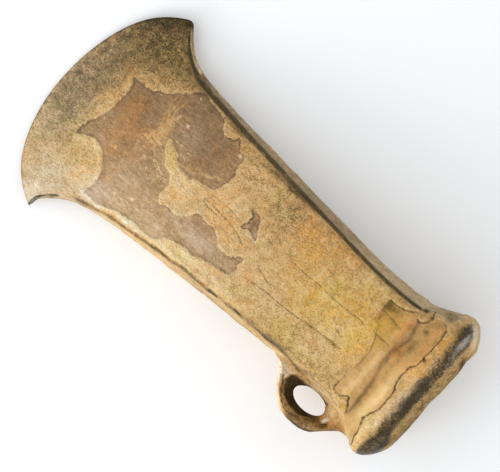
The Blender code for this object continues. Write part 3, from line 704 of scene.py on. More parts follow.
def joined_skin():
    """The casting as one closed bmesh, with the loop joined on and its roots blended into the body."""
    body = new_object("skin_body", mesh_of(rolled(outer_rows() + socket_rows()), "skin_body"))
    loop = new_object("skin_loop", mesh_of(rolled(loop_rows(), endless=True), "skin_loop"))
    surfaces = [surface_of(made.data) for made in (body, loop)]
    join = body.modifiers.new("join", "BOOLEAN")
    join.operation = "UNION"
    join.solver = "MANIFOLD"
    join.object = loop
    bm = bmesh.new()
    bm.from_object(body, bpy.context.evaluated_depsgraph_get())
    for made in (body, loop):
        bpy.data.objects.remove(made, do_unlink=True)
    bmesh.ops.remove_doubles(bm, verts=bm.verts, dist=SLIVER)
    bmesh.ops.triangulate(bm, faces=[f for f in bm.faces if len(f.verts) > 4])
    roots = [
        v for v in bm.verts
        if v.co.y < ROOTS_Y and ROOTS_X[0] < v.co.x < ROOTS_X[1]
        and all(surface.find_nearest(v.co)[3] < ROOTS_REACH for surface in surfaces)
    ]  # fmt: skip
    for _ in range(ROOTS_SMOOTHINGS):
        bmesh.ops.smooth_vert(bm, verts=roots, factor=0.5, use_axis_x=True, use_axis_y=True, use_axis_z=True)
    return bm


# ---------------------------------------------------------------- corrosion, painted light and shade
def smoothstep(low, high, values):
    """0 below low and 1 above high, or the other way round if low is the higher."""
    t = np.clip((values - low) / (high - low), 0.0, 1.0)
    return t * t * (3 - 2 * t)


def near(distance, reach):
    """1 where the distance is 0, dying away smoothly over about the reach."""
    return np.exp(-((distance / reach) ** 2))


def lumps(points, size, octaves=1, seed=0.0, stretch=(1.0, 1.0, 1.0)):
    """Smooth noise of about -1 to 1 at points in mm, with lumps of this size in mm."""
    scaled = points / (size * np.array(stretch)) + seed
    return np.array([noise.fractal(Vector(p), 1.0, 2.0, octaves) for p in scaled])


def rounded(points, closed):
    """A finer line that runs smoothly through the points of an outline."""
    count = len(points)
    fine = []
    for i in range(count if closed else count - 1):
        if closed:
            around = [points[(i + k) % count] for k in (-1, 0, 1, 2)]
            fine += [spline(around, 1, t)[:] for t in (0.0, 0.33, 0.67)]
        else:
            fine += [spline(points, i, t)[:] for t in (0.0, 0.25, 0.5, 0.75)]
    return np.array(fine if closed else fine + [points[-1]])


def distance_and_inside(places, line, closed=False):
    """Distance in mm from each place to a line, and which places it holds if it is a closed outline."""
    fine = rounded(line, closed)
    starts = fine if closed else fine[:-1]
    ends = np.roll(fine, -1, axis=0) if closed else fine[1:]
    nearest = np.full(len(places), np.inf)
    inside = np.zeros(len(places), bool)
    for start, end in zip(starts, ends):
        along = end - start
        t = np.clip((places - start) @ along / max(along @ along, 1e-12), 0, 1)
        gap = places - start - t[:, None] * along
        nearest = np.minimum(nearest, (gap**2).sum(1))
        if closed and start[1] != end[1]:
            spans = (places[:, 1] < start[1]) != (places[:, 1] < end[1])
            crossing = start[0] + (places[:, 1] - start[1]) / (end[1] - start[1]) * (end[0] - start[0])
            inside ^= spans & (places[:, 0] < crossing)
    return np.sqrt(nearest), inside


def depth_inside(places, outline):
    """Signed distance in mm to an outline, positive inside it."""
    distance, inside = distance_and_inside(places, outline, closed=True)
    return np.where(inside, distance, -distance)


def line_distance(places, *lines):
    """Distance in mm from each place to the nearest of some open lines."""
    return np.minimum.reduce([distance_and_inside(places, line)[0] for line in lines])


def dabs(places, table):
    """Sum of a table's soft patches at each place."""
    total = np.zeros(len(places))
    for x, y, half_length, half_width, amount in table:
        total += amount * np.exp(-(((places[:, 0] - x) / half_length) ** 2) - ((places[:, 1] - y) / half_width) ** 2)
    return total


def edge_distance(places):
    """Distance in mm behind the cutting edge, measured along the axe."""
    x, y = places.T
    _, plus_end, minus_end = STATIONS[0]
    apex = EDGE_APEX_Y / MM
    back = np.where(y > apex, plus_end[0], minus_end[0]) / MM
    reach = np.where(y > apex, plus_end[1], -minus_end[1]) / MM
    return x - back * edge_curve(np.clip((y - apex) / (reach - apex), 0, 1.05))


def in_socket(co):
    """Which vertices line the socket."""
    half_width, half_height = socket_size(np.clip(LENGTH - co[:, 0], 0, SOCKET_DEPTH))
    across = (np.abs(co[:, 1]) < half_width + SOCKET_MARGIN) & (np.abs(co[:, 2]) < half_height + SOCKET_MARGIN)
    return across & (co[:, 0] > LENGTH - SOCKET_DEPTH - SOCKET_END_MARGIN) & (co[:, 0] < LENGTH - RIM_MARGIN)


def vertex_values(mesh, name):
    """A measure of three numbers at each vertex, such as its place or its normal."""
    values = np.zeros(len(mesh.vertices) * 3)
    mesh.vertices.foreach_get(name, values)
    return values.reshape(-1, 3)


class Skin:
    """The skin's vertices, with the noises, regions and distances in mm that its corrosion and its painted light and
    shade follow.

    A region or a share runs from 0 to 1. up is the upward part of a vertex's normal. A distance of FAR or more
    leaves no mark.
    """

    def __init__(self, mesh):
        self.co = vertex_values(mesh, "co")
        self.normals = vertex_values(mesh, "normal")
        self.points = self.co / MM
        self.x, self.y, self.z = self.points.T
        self.up = self.normals[:, 2]
        self.upward = smoothstep(0.0, 0.2, self.up)
        self.socket = in_socket(self.co)
        self.outside = 1.0 - self.socket
        self.loop = smoothstep(-15.3, -16.3, self.y) * smoothstep(74, 78, self.x) * smoothstep(103, 99, self.x)
        self.eye_x, self.eye_y = (self.points[:, :2] - np.array(LOOP_CENTRE) / MM).T

        self.warp = np.stack([lumps(self.points, 2.4, 3, seed) for seed in (3.1, 57.7)], 1)
        self.places = self.warped(0.30)
        self.broad = lumps(self.points, 14.0, 2, 11.3)
        self.middling = lumps(self.points, 4.5, 3, 23.9)
        self.small = lumps(self.points, 1.4, 2, 37.1)

        self.bare = self.flaked_depth()
        self.crack_x = 102.7 + 0.8 * lumps(self.points, 7.0, 2, 15.0)  # the collar's crack, away from the face
        self.neck = self.neck_depth()
        self.loop_crack = line_distance(self.warped(0.15), LOOP_CRACK)
        self.crack = self.crack_distance()
        self.curl = np.where(self.up > 0.35, line_distance(self.places, *CURLS), FAR)
        self.scratch = np.where(self.up > 0.12, line_distance(self.warped(0.12), *SCRATCHES), FAR)
        self.vein = np.where(self.up > 0.3, line_distance(self.warped(0.25), *VEINS), FAR)
        self.groove = line_distance(self.places, GROOVE)
        self.soil_line = line_distance(self.warped(0.15), SOIL_LINE)
        self.edge = edge_distance(self.points[:, :2])
        self.bump = self.bumps()
        self.find_regions()

    def warped(self, amount):
        """Each vertex's place on the face, moved about so that what is drawn there has ragged edges."""
        return self.points[:, :2] + amount * self.warp

    def find_regions(self):
        """Finds the regions that more than one measure follows."""
        x, y, up = self.x, self.y, self.up
        self.side = smoothstep(0.60, 0.30, np.abs(up)) * self.outside * (self.loop < 0.5)
        self.side *= smoothstep(8, 14, x) * smoothstep(105, 101, x)
        self.flare = smoothstep(0.75, 0.45, up) * (up > -0.3) * (y > 12)
        self.flare *= smoothstep(96, 99, x) * smoothstep(104.5, 103, x)
        self.halo = near(self.bare + 0.9, 0.9) * (self.bare < 0.2)  # clean crust round a flaked patch
        # Painted light: the side wall of the blade's corner at +y, paler where it faces the light
        self.lit_tip_side = smoothstep(0.42, 0.22, line_distance(self.points[:, :2], TIP_LIT_LINE)) * (up > -0.3)
        self.in_groove = (up > 0.3) * smoothstep(-0.1, 0.3, self.neck)
        self.rim_ring = np.hypot(self.eye_x / 9.3, self.eye_y / 6.3)
        # The loop's upper rim, painted paler as it faces the light
        self.lit_rim = self.loop * smoothstep(0.73, 0.78, self.rim_ring + 0.01 * self.small)
        self.lit_rim *= 1 - smoothstep(85.0, 89.0, x)

    def flaked_depth(self):
        """Depth inside the patches that the crust has flaked off: drawn above, left to noise underneath."""
        drawn = np.maximum.reduce([depth_inside(self.places, outline) for outline in (LARGE_FLAKE, SMALL_FLAKE)])
        under = np.minimum((lumps(self.points, 17.0, 3, 91.0) - 0.18) * 14, 70 - self.x)
        on_side = 6 * np.maximum(0, self.middling - 0.25) - FAR
        depth = np.where(np.abs(self.up) < 0.45, on_side, np.where(self.up > 0, drawn, under))
        return np.where(self.socket | (self.loop > 0.5), -FAR, depth)

    def neck_depth(self):
        """Depth inside the smooth neck."""
        around = np.minimum(self.x - (95.2 + 0.8 * self.middling), self.crack_x - self.x)
        depth = np.where(self.up > 0.15, depth_inside(self.places, NECK), around)
        return np.where(self.socket, -FAR, depth)

    def crack_distance(self):
        """Distance to the nearest crack."""
        x, up = self.x, self.up
        crack = np.where(up > 0.42, line_distance(self.places, *CRACKS), FAR)
        collar_crack = np.where(up > 0.15, line_distance(self.places, CRACKS[0]), np.abs(x - self.crack_x))
        crack = np.where(self.socket, FAR, np.minimum(crack, np.minimum(collar_crack, FAR)))
        loop_crack = 1.25 * self.loop_crack + FAR * smoothstep(91, 93, x) + FAR * (up < 0.3)
        on_loop = np.minimum(np.minimum(loop_crack, FAR), np.where(self.y > -15.8, crack, FAR))
        crack = np.where(self.loop > 0.5, on_loop, crack)
        return np.minimum(crack, np.where(up > 0.2, line_distance(self.warped(0.12), *CURL_LINES), FAR))

    def bumps(self):
        """How far up one of the small bumps each vertex is."""
        bump = np.zeros(len(self.points))
        for x, y, radius in BUMPS:
            bump = np.maximum(bump, near(np.hypot(self.x - x, self.y - y), 0.7 * radius) * (self.up > 0.3))
        return bump

    def tone(self):
        """How much paler each vertex is, or darker if below 0: mostly the patina's own tone, partly painted light and
        shade.
        """
        x, y, up = self.x, self.y, self.up
        tone = dabs(self.places, DARKER_AND_PALER) * self.upward
        tone += dabs(self.places, NECK_DARKER_AND_PALER) * self.upward * smoothstep(-0.25, 0.05, self.neck)
        # Darker along the groove: partly its own patina, partly painted shade
        tone -= 0.38 * near(self.groove, 0.55) * self.in_groove
        tone += 0.06 * self.broad + 0.08 * self.middling
        # Painted light and shade on the sides: the side at -y mostly paler, as it faces the light, and the side at +y
        # darker, partly painted shade and partly its darker patina
        on_loop_side = 0.12 - 0.22 * smoothstep(46, 60, x) * smoothstep(80, 72, x)
        tone += self.side * np.where(y > 0, 0.15 * smoothstep(70, 85, x) - 0.20, on_loop_side)
        tone += 0.05 * smoothstep(22, 30, x) + 0.06 * self.halo * (x < 30)
        # Painted light on the side wall of the blade's corner at +y
        tone += 0.45 * self.lit_tip_side - 0.10 * self.flare
        in_middle = 0.62 * near(self.soil_line, 0.45) * smoothstep(66, 54, x) * smoothstep(18, 24, x)
        by_loop = 0.56 * near(self.soil_line, 0.6) * smoothstep(73, 77, x) * smoothstep(87, 83, x)
        tone -= (in_middle + by_loop) * (y < -11) * (up > 0)
        return tone + self.edge_tone() + self.loop_tone()

    def edge_tone(self):
        """The darkness along the cutting edge."""
        x, y = self.x, self.y
        tip = smoothstep(17, 23, y)
        line = smoothstep(0.55 + 0.35 * tip, 0.15 + 0.25 * tip, self.edge + 0.25 * self.small)
        behind = 0.24 * near(self.edge - 1.8, 1.4) * smoothstep(-14, -2, y)
        return -(behind + (0.25 + 0.35 * smoothstep(6, 15, y)) * line) * (x < 20)

    def loop_tone(self):
        """Painted shade in the loop's eye, on its lower side and on its lower rim, which face away from the light,
        painted light on its upper rim, which faces it, and the dark line along its crack.
        """
        x, y, loop = self.x, self.y, self.loop
        eye_ring = np.hypot((self.eye_x + 0.5) / 6.6, (self.eye_y - 0.15) / 3.9) + 0.03 * self.small
        # Painted shade in the eye
        shaded_eye = loop * smoothstep(1.03, 0.93, eye_ring) * smoothstep(95.0, 91.8, x) * smoothstep(-15.0, -16.2, y)
        tone = 0.48 * self.lit_rim - shaded_eye * (1.00 - 0.85 * near(self.loop_crack - 0.50, 0.16))
        # Painted shade on the lower side and on the lower rim
        tone -= 0.30 * loop * (1 - shaded_eye) * smoothstep(-18.0, -20.5, y) * smoothstep(86.0, 90.0, x)
        shaded_rim = smoothstep(0.82, 0.95, self.rim_ring) * smoothstep(87.0, 92.0, x) * smoothstep(-18.0, -19.4, y)
        tone -= 0.55 * loop * shaded_rim
        return tone - 0.30 * loop * near(self.loop_crack - 0.1, 0.3) * (self.up > 0) * smoothstep(88, 85, x)

    def warmth(self):
        """How much warmer each vertex is, or greener if below 0."""
        return dabs(self.places, WARMER_AND_GREENER) * self.upward + 0.35 * self.broad + 0.25 * self.middling

    def greyness(self):
        """How much greyer each vertex is, or yellower if below 0."""
        grey = dabs(self.places, YELLOWER_AND_GREYER) * self.upward + 0.15 * lumps(self.points, 9.0, 2, 44.0)
        grey += 0.5 * near(self.groove, 0.8) * self.in_groove
        # Greyer on the side at +y, partly a painted reflection of the pale surroundings
        return grey + self.side * np.where(self.y > 0, 0.95, 0.30) + self.flare + 0.8 * self.lit_tip_side

    def speckle(self):
        """How strongly the crust is speckled."""
        speckle = dabs(self.places, SPECKLED) * self.upward + 0.10 * self.broad + 0.12 * self.middling
        speckle = np.clip(speckle, 0.0, 1.0) * (1 - self.lit_rim) * (1 - self.flare)
        return speckle * (1 - 0.8 * self.halo)

    def soil(self):
        """The dark soil and wear along the arrises and round the blade's corner at +y, and painted shade along the side
        wall of the corner at -y.
        """
        x, y, up = self.x, self.y, self.up
        below = np.interp(self.co[:, 0], *np.array(BODY_THICKNESS).T) / MM - self.z
        blade = smoothstep(62, 40, x)
        body = smoothstep(63, 70, x)
        soil = 0.88 * smoothstep(0.955 + 0.04 * blade - 0.06 * body, 0.84 - 0.12 * body, up) * (y > 11)
        soil *= smoothstep(2.5 + 0.8 * blade + 0.7 * body, 0.8 + 0.3 * body, below + 0.4 * self.middling)
        patchy = (0.42 + 0.7 * self.middling + 0.5 * self.small) * smoothstep(48, 60, x) * smoothstep(78, 74, x)
        soil += near(self.soil_line, 0.45) * (y < -11) * smoothstep(0.02, 0.15, up) * patchy
        soil += smoothstep(0.97, 0.90, -up) * smoothstep(0.40, 0.55, -up) * smoothstep(-0.2, 0.3, self.middling)
        soil *= np.where(y > 0, smoothstep(9, 14, x), smoothstep(12, 20, x)) * smoothstep(96.5, 94.5, x)
        soil *= self.outside * (self.loop < 0.5) * (1 - (y > 0) * smoothstep(24, 20, x))

        tip_line = line_distance(self.warped(0.10), TIP_SOIL_LINE)
        soil += 0.85 * smoothstep(0.35 + 0.45 * smoothstep(16, 20, x), 0.10, tip_line) * (y > 0) * (up > 0.3)
        # Painted shade along the side wall of the blade's corner at -y, which faces away from the light
        loop_tip_shade = line_distance(self.points[:, :2], LOOP_TIP_SHADE_LINE)
        soil += 0.90 * smoothstep(0.48, 0.25, loop_tip_shade + 0.20 * smoothstep(14, 15, x)) * (up > -0.3)
        # and painted shade on the side faces next to that corner
        shaded_flank = smoothstep(0.60, 0.35, np.abs(up)) * self.outside * (x < 30)
        soil += 0.45 * shaded_flank * (y < -18) * smoothstep(18.5, 17.0, x)
        soil *= 1 - 0.7 * self.lit_tip_side
        return np.clip(soil * (1.0 + 0.35 * self.middling + 0.25 * self.small), 0, 1)

    def crest(self):
        """The worn crest of the collar."""
        x, y, up = self.x, self.y, self.up
        start = CREST[0] + (0.8 * smoothstep(10.0, 6.0, y) + 0.2 * smoothstep(3.0, -3.0, y)) * (up > 0)
        crest = smoothstep(start - 1.7, start + 1.5, x + 0.5 * self.middling)
        end_x = x + 0.4 * self.middling - smoothstep(-10.0, -13.0, y)
        crest *= smoothstep(CREST[1] + 1.3, CREST[1] - 0.7, end_x)
        crest *= self.outside * (1.0 + 0.3 * self.middling)
        crest *= 1 + 0.45 * smoothstep(-8, -12, y) - 0.25 * near(y - 5.5, 3.0)
        return crest * (1 - smoothstep(12.0, 15.0, y) * smoothstep(0.62, 0.42, up))

    def relief(self, crust_height, lump_height, wear_and_shade):
        """How far each vertex is raised along its normal."""
        x, y, up, outside = self.x, self.y, self.up, self.outside
        faces = (smoothstep(0.25, 0.6, up) + smoothstep(0.25, 0.6, -up)) * outside
        faces *= smoothstep(0.90, 0.97, np.abs(up))
        crust = smoothstep(0.35, -0.35, self.bare) * smoothstep(0.3, -0.3, self.neck)
        lip = near(self.bare + 0.55, 0.45) * (self.bare < 0.6)
        relief = crust_height * (crust - 0.6 + 0.25 * lip) * faces
        rough = 1.1 * self.middling + 0.8 * self.small + 0.5 * lumps(self.points, 0.8, 1, 5.5)
        relief += lump_height * crust * rough * (1 - 0.6 * wear_and_shade)
        relief += 0.12 * self.broad * smoothstep(5, 25, x)
        streaky = lumps(self.points, 2.2, 3, 71.0, (2.2, 0.6, 1.0))
        relief += (1 - crust) * (0.03 * self.small + 0.02 * streaky + 0.10 * near(self.vein, 0.35))
        relief += 0.16 * self.bump
        relief += (0.34 * near(self.curl, 0.42) - 0.16 * near(self.crack, 0.28)) * outside
        relief -= 0.07 * near(self.groove, 0.5) * (up > 0.3) + 0.10 * near(self.scratch, 0.25)
        collar_crust = smoothstep(102.0, 103.2, x) * (self.neck < 0) * outside
        relief += (0.10 * near(self.crack - 0.55, 0.35) + 0.14 * (1 - wear_and_shade)) * collar_crust
        for dent_x, dent_y, radius, depth in DENTS:
            relief -= depth * near(np.hypot(x - dent_x, y - dent_y), radius) * outside
        relief *= 0.1 + 0.9 * smoothstep(-0.2, 2.5, self.edge)  # the cutting edge stays thin
        eye_waist = np.hypot(self.eye_x * MM / LOOP_HOLE[0], self.eye_y * MM / LOOP_HOLE[1])
        relief *= 1 - (y < -14.5) * (x > 82) * (x < 98) * smoothstep(1.45, 1.10, eye_waist)
        return np.where(self.socket, 0.15 * self.middling + 0.08 * self.small, relief)


def corroded(mesh, settings):
    """Raises and lowers the skin as crust, flakes, cracks and wear do, and stores where each of them lies and where
    light and shade are painted.
    """
    skin = Skin(mesh)
    soil, crest = skin.soil(), skin.crest()
    relief = skin.relief(settings.crust_height / MM, settings.roughness_height / MM, np.maximum(0.8 * soil, crest))
    mesh.vertices.foreach_set("co", (skin.co + skin.normals * (relief * MM)[:, None]).ravel())
    held = {
        "bare": skin.bare,
        "neck": skin.neck,
        "crack": skin.crack,
        "scratch": skin.scratch,
        "vein": skin.vein,
        "bump": skin.bump,
        "tone": skin.tone(),
        "warmth": skin.warmth(),
        "greyness": skin.greyness(),
        "film": dabs(skin.places, FILMED),
        "speckle": skin.speckle(),
        "seamed": dabs(skin.places, SEAMED),
        "soil": soil,
        "crest": crest,
        # where the highlights are painted
        "sheen": dabs(skin.places, PAINTED_HIGHLIGHTS) * skin.upward,
        "inside": skin.socket,
    }
    for name, values in held.items():
        mesh.attributes.new(name, "FLOAT", "POINT").data.foreach_set("value", values.astype(np.float32))


# ---------------------------------------------------------------- materials
class Nodes:
    """Short calls that add shader nodes to one material."""

    def __init__(self, name):
        self.material = bpy.data.materials.new(name)
        self.material.use_nodes = True
        self.tree = self.material.node_tree
        self.shader = self.tree.nodes["Principled BSDF"]

    def add(self, kind, inputs, out=0, **settings):
        node = self.tree.nodes.new("ShaderNode" + kind)
        for key, value in settings.items():
            setattr(node, key, value)
        for key, value in inputs.items():
            self.set(node.inputs[key], value)
        return node.outputs[out]

    def set(self, socket, value):
        if isinstance(value, bpy.types.NodeSocket):
            self.tree.links.new(value, socket)
        else:
            socket.default_value = value

    def held(self, name):
        """A measure that the mesh holds at each vertex."""
        return self.add("Attribute", {}, 2, attribute_name=name, attribute_type="GEOMETRY")

    def maths(self, operation, *values):
        total = values[0]
        for value in values[1:]:
            total = self.add("Math", {0: total, 1: value}, operation=operation)
        return total

    def sum(self, *values):
        return self.maths("ADD", *values)

    def times(self, *values):
        return self.maths("MULTIPLY", *values)

    def step(self, value, low, high):
        """0 below low and 1 above high, or the other way round if low is the higher."""
        return self.add("MapRange", {0: value, 1: low, 2: high}, interpolation_type="SMOOTHSTEP")

    def span(self, value, low, high, to_low, to_high):
        return self.add("MapRange", {0: value, 1: low, 2: high, 3: to_low, 4: to_high})

    def mix(self, share, first, second, way="MIX"):
        first, second = ((*c, 1.0) if isinstance(c, tuple) else c for c in (first, second))
        return self.add("Mix", {0: share, 6: first, 7: second}, 2, data_type="RGBA", blend_type=way)

    def noise(self, place, size_mm, detail, rough):
        """Noise of about -0.5 to 0.5."""
        inputs = {"Vector": place, "Scale": 1 / (size_mm * MM), "Detail": detail, "Roughness": rough}
        return self.sum(self.add("TexNoise", inputs), -0.5)

    def cells(self, place, size_mm):
        """One level from -0.5 to 0.5 for each cell."""
        colour = self.add("TexVoronoi", {"Vector": place, "Scale": 1 / (size_mm * MM)}, 1)
        return self.sum(self.add("SeparateColor", {0: colour}), -0.5)

    def ramp(self, level, colours):
        """The colour at a level, from (level, colour) pairs between -1 and 1."""
        node = self.tree.nodes.new("ShaderNodeValToRGB")
        self.tree.links.new(self.span(level, -1.0, 1.0, 0.0, 1.0), node.inputs[0])
        elements = node.color_ramp.elements
        while len(elements) < len(colours):
            elements.new(0.5)
        for element, (at, colour) in zip(elements, colours):
            element.position = (at + 1) / 2
            element.color = (*colour, 1.0)
        return node.outputs[0]


# Colours from the darkest to the palest, at levels from -1 to 1
CRUST_COLOURS = (
    (-1.00, (0.042, 0.029, 0.012)),
    (-0.55, (0.137, 0.090, 0.035)),
    (-0.25, (0.305, 0.191, 0.078)),
    (0.00, (0.540, 0.335, 0.138)),
    (0.40, (0.760, 0.550, 0.290)),
    (1.00, (0.880, 0.780, 0.600)),
)
BARE_COLOURS = (
    (-1.00, (0.050, 0.034, 0.018)),
    (-0.40, (0.172, 0.107, 0.052)),
    (0.00, (0.315, 0.190, 0.092)),
    (0.50, (0.560, 0.382, 0.215)),
    (1.00, (0.760, 0.640, 0.500)),
)
NECK_COLOURS = (
    (-1.00, (0.060, 0.032, 0.009)),
    (-0.40, (0.220, 0.121, 0.040)),
    (0.00, (0.480, 0.281, 0.104)),
    (0.50, (0.740, 0.500, 0.250)),
    (1.00, (0.860, 0.690, 0.450)),
)
CRACK_COLOUR = (0.065, 0.034, 0.022)
SCRATCH_COLOUR = (0.110, 0.070, 0.028)
BUMP_COLOUR = (0.720, 0.520, 0.340)
LIT_COLOUR = CRUST_COLOURS[-1][1]
# The colour of soil and wear, and of the painted shade on a side wall of the blade
SOIL_AND_SHADE_COLOUR = (0.048, 0.038, 0.019)
WORN_COLOUR = (0.015, 0.011, 0.006)
RUBBED_COLOUR = (0.135, 0.098, 0.045)
# The colour of the painted highlights
PAINTED_HIGHLIGHT_COLOUR = (0.95, 0.90, 0.80)
SOCKET_COLOUR = (0.100, 0.070, 0.040)
MATT_TO_GLOSSY = (0.85, 0.42)
BRONZE_SPECULAR = 0.13


class CorrodedBronze(Nodes):
    """Crust, bare patina and smooth neck, with the marks over them, painted shade and highlights among them. Their
    shared noises run from about -0.5 to 0.5.
    """

    def __init__(self, settings, tilt):
        super().__init__("corroded_bronze")
        self.settings = settings
        place = self.add("TexCoord", {}, 3)
        along = self.add("Mapping", {"Vector": place, "Rotation": (0.0, tilt, 0.0)})
        drawn_out = self.add("Mapping", {"Vector": along, "Scale": (0.3, 1.0, 1.0)})
        self.noises = {
            "fine": self.noise(place, 0.28, 1.0, 0.5),
            "cells": self.cells(place, 0.42),
            "pebbles": self.noise(place, 0.50, 2.0, 0.65),
            "streaks": self.noise(drawn_out, 0.6, 3.0, 0.6),
            "wavy": self.noise(place, 1.0, 1.0, 0.5),
            "medium": self.noise(place, 1.2, 3.0, 0.6),
            "mottle": self.noise(place, 1.7, 5.0, 0.80),
            "coarse": self.noise(place, 4.2, 4.0, 0.55),
        }
        self.tone, self.warmth, self.greyness, self.speckle = (
            self.held(name) for name in ("tone", "warmth", "greyness", "speckle")
        )
        self.bare = self.noisy(self.held("bare"), medium=1.0, pebbles=1.0)
        self.neck = self.noisy(self.held("neck"), medium=0.42, pebbles=0.30)
        self.crack = self.noisy(self.held("crack"), pebbles=0.3)
        self.scratch = self.noisy(self.held("scratch"), medium=0.35, pebbles=0.2)
        self.on_bare = self.step(self.bare, -0.10, 0.10)
        self.on_neck = self.step(self.neck, -0.12, 0.12)
        self.on_smooth = self.maths("MAXIMUM", self.on_bare, self.on_neck)
        self.on_wear = self.step(self.noisy(self.held("crest"), mottle=1.4, pebbles=1.2), 0.24, 0.80)
        grain = self.noisy(0.0, pebbles=0.7, mottle=0.6, fine=0.6, cells=0.10)
        self.hollow = self.step(grain, -0.02, -0.24)
        film = self.noisy(self.held("film"), medium=0.8, streaks=0.9, mottle=0.9)
        vein = self.noisy(self.held("vein"), medium=0.9, mottle=0.9)
        self.filmed = self.maths("MAXIMUM", self.step(film, 0.30, 0.46), self.step(vein, 0.30, 0.10))

    def noisy(self, value, **weights):
        """A value with some of the shared noises added, each times its weight."""
        return self.sum(value, *(self.times(self.noises[name], weight) for name, weight in weights.items()))

    def tinted(self, colour, warmth, greyness):
        """A colour tinted towards warm or green and towards grey or yellow."""
        ways = (
            (warmth, 0.9, self.settings.warm_tint),
            (warmth, -0.9, self.settings.green_tint),
            (greyness, 0.9, self.settings.grey_tint),
            (greyness, -0.9, self.settings.yellow_tint),
        )
        for measure, full, tint in ways:
            colour = self.mix(self.step(measure, 0.0, full), colour, tuple(tint), "MULTIPLY")
        return colour

    def crust(self):
        """Grains of many shades, with dark hollows between them and pale curls where the crust is speckled."""
        shades = self.noisy(0.0, mottle=1.10, pebbles=0.30, fine=0.35, cells=0.12)
        paler = self.times(shades, shades, self.sum(1.2, self.speckle))
        wavy = self.noises["wavy"]
        curled = self.times(self.step(self.times(wavy, wavy), 0.0022, 0.0), self.step(self.speckle, 0.45, 0.95), 0.40)
        darker = self.times(self.hollow, self.sum(-0.04, self.times(self.speckle, -0.42)))
        crust = self.ramp(self.sum(self.tone, shades, paler, curled, darker, 0.01), CRUST_COLOURS)
        hue = self.noisy(0.0, coarse=2.2, medium=1.6, cells=0.6)
        hue = self.times(hue, self.sum(1.0, self.times(self.step(self.greyness, 0.2, 0.9), -0.45)))
        return self.tinted(crust, self.sum(self.warmth, hue), self.sum(self.greyness, self.times(hue, -0.3)))

    def patina(self, crust):
        """Brown with streaks along the axe, small bumps, and a thin film of crust left here and there."""
        level = self.sum(self.tone, -0.05)
        level = self.noisy(level, streaks=0.75, mottle=0.90, pebbles=0.60, coarse=0.35, fine=0.55, cells=0.08)
        warmth = self.noisy(self.sum(self.warmth, -0.05), coarse=1.6, medium=1.6, pebbles=1.0)
        brown = self.tinted(self.ramp(level, BARE_COLOURS), warmth, self.greyness)
        brown = self.mix(self.times(self.filmed, 0.72), brown, crust)
        on_bump = self.step(self.noisy(self.held("bump"), pebbles=1.0), 0.35, 0.80)
        return self.mix(self.times(on_bump, 0.75), brown, BUMP_COLOUR)

    def smooth_neck(self):
        level = self.noisy(self.sum(self.tone, -0.02), coarse=0.8, mottle=0.70, pebbles=0.35)
        warmth = self.noisy(self.warmth, coarse=2.6, medium=1.5)
        return self.tinted(self.ramp(level, NECK_COLOURS), warmth, self.greyness)

    def marks(self):
        """Each mark's share, from 0 to 1, and its colour, from the lowest to the topmost."""
        bare, neck = self.bare, self.neck
        seamed = self.times(self.held("seamed"), self.noisy(0.85, coarse=2.0))
        seam = self.times(self.step(bare, -0.16, 0.0), self.step(bare, 0.50, 0.12), seamed)
        lit = self.times(self.step(bare, -0.60, -0.35), self.step(bare, -0.05, -0.25))
        lit = self.times(lit, self.sum(1.0, self.times(seamed, -1.0)))
        neck_seam = self.times(self.step(neck, -0.15, 0.0), self.step(neck, 0.25, 0.05))
        neck_seam = self.times(neck_seam, self.step(self.noises["coarse"], 0.16, -0.06))
        # Soil and wear along the arrises, with painted shade on a side wall of the blade
        soil = self.step(self.noisy(self.held("soil"), mottle=1.3, pebbles=0.9), 0.10, 0.90)
        rubbed = self.step(self.noisy(0.0, medium=1.0, coarse=1.0, pebbles=0.8), -0.1, 0.4)
        # Painted highlights, pale where the table puts them and near white at their strongest
        sheen = self.noisy(self.held("sheen"), pebbles=1.1, mottle=0.4)
        painted_glint = self.sum(self.times(self.step(sheen, 0.10, 0.85), 0.36), self.times(self.step(sheen, 1.2, 1.8), 0.60))
        return (
            (self.times(seam, 0.80), CRACK_COLOUR),
            (self.times(lit, 0.13), LIT_COLOUR),
            (self.times(neck_seam, 0.55), SCRATCH_COLOUR),
            (self.times(self.step(self.crack, 0.26, 0.06), 0.80), CRACK_COLOUR),
            (self.times(self.step(self.scratch, 0.26, 0.02), 0.55), SCRATCH_COLOUR),
            (self.times(soil, 0.92), SOIL_AND_SHADE_COLOUR),
            (self.times(self.on_wear, 0.92), self.mix(rubbed, WORN_COLOUR, RUBBED_COLOUR)),
            (painted_glint, PAINTED_HIGHLIGHT_COLOUR),
            (self.times(self.held("inside"), 0.75), SOCKET_COLOUR),
        )

    def height(self):
        """Height in mm of the grain that is finer than the mesh."""
        rough = self.noisy(self.times(self.hollow, -0.05), pebbles=0.32, fine=0.13, medium=0.18)
        smoother = self.noisy(0.0, streaks=0.07, medium=0.08, pebbles=0.05)
        on_rough = self.sum(1.0, self.times(self.on_smooth, -1.0))
        return self.sum(
            self.times(rough, on_rough),
            self.times(smoother, self.on_smooth),
            self.times(self.on_bare, -0.12),
            self.times(self.on_neck, -0.05),
            self.times(self.filmed, self.on_bare, 0.05),
            self.times(self.step(self.crack, 0.30, 0.0), -0.12),
            self.times(self.step(self.scratch, 0.25, 0.0), -0.05),
        )

    def finished(self):
        """Lays the layers over each other and gives the material."""
        crust = self.crust()
        colour = self.mix(self.on_bare, crust, self.patina(crust))
        colour = self.mix(self.on_neck, colour, self.smooth_neck())
        for share, mark_colour in self.marks():
            colour = self.mix(share, colour, mark_colour)
        bump = self.add("Bump", {"Strength": 1.0, "Distance": MM, "Height": self.height()})
        glossy = self.maths("MAXIMUM", self.times(self.on_smooth, 0.6), self.on_wear)
        self.set(self.shader.inputs["Base Color"], colour)
        self.set(self.shader.inputs["Normal"], bump)
        self.set(self.shader.inputs["Roughness"], self.span(glossy, 0.0, 1.0, *MATT_TO_GLOSSY))
        self.set(self.shader.inputs["Specular IOR Level"], BRONZE_SPECULAR)
        return self.material


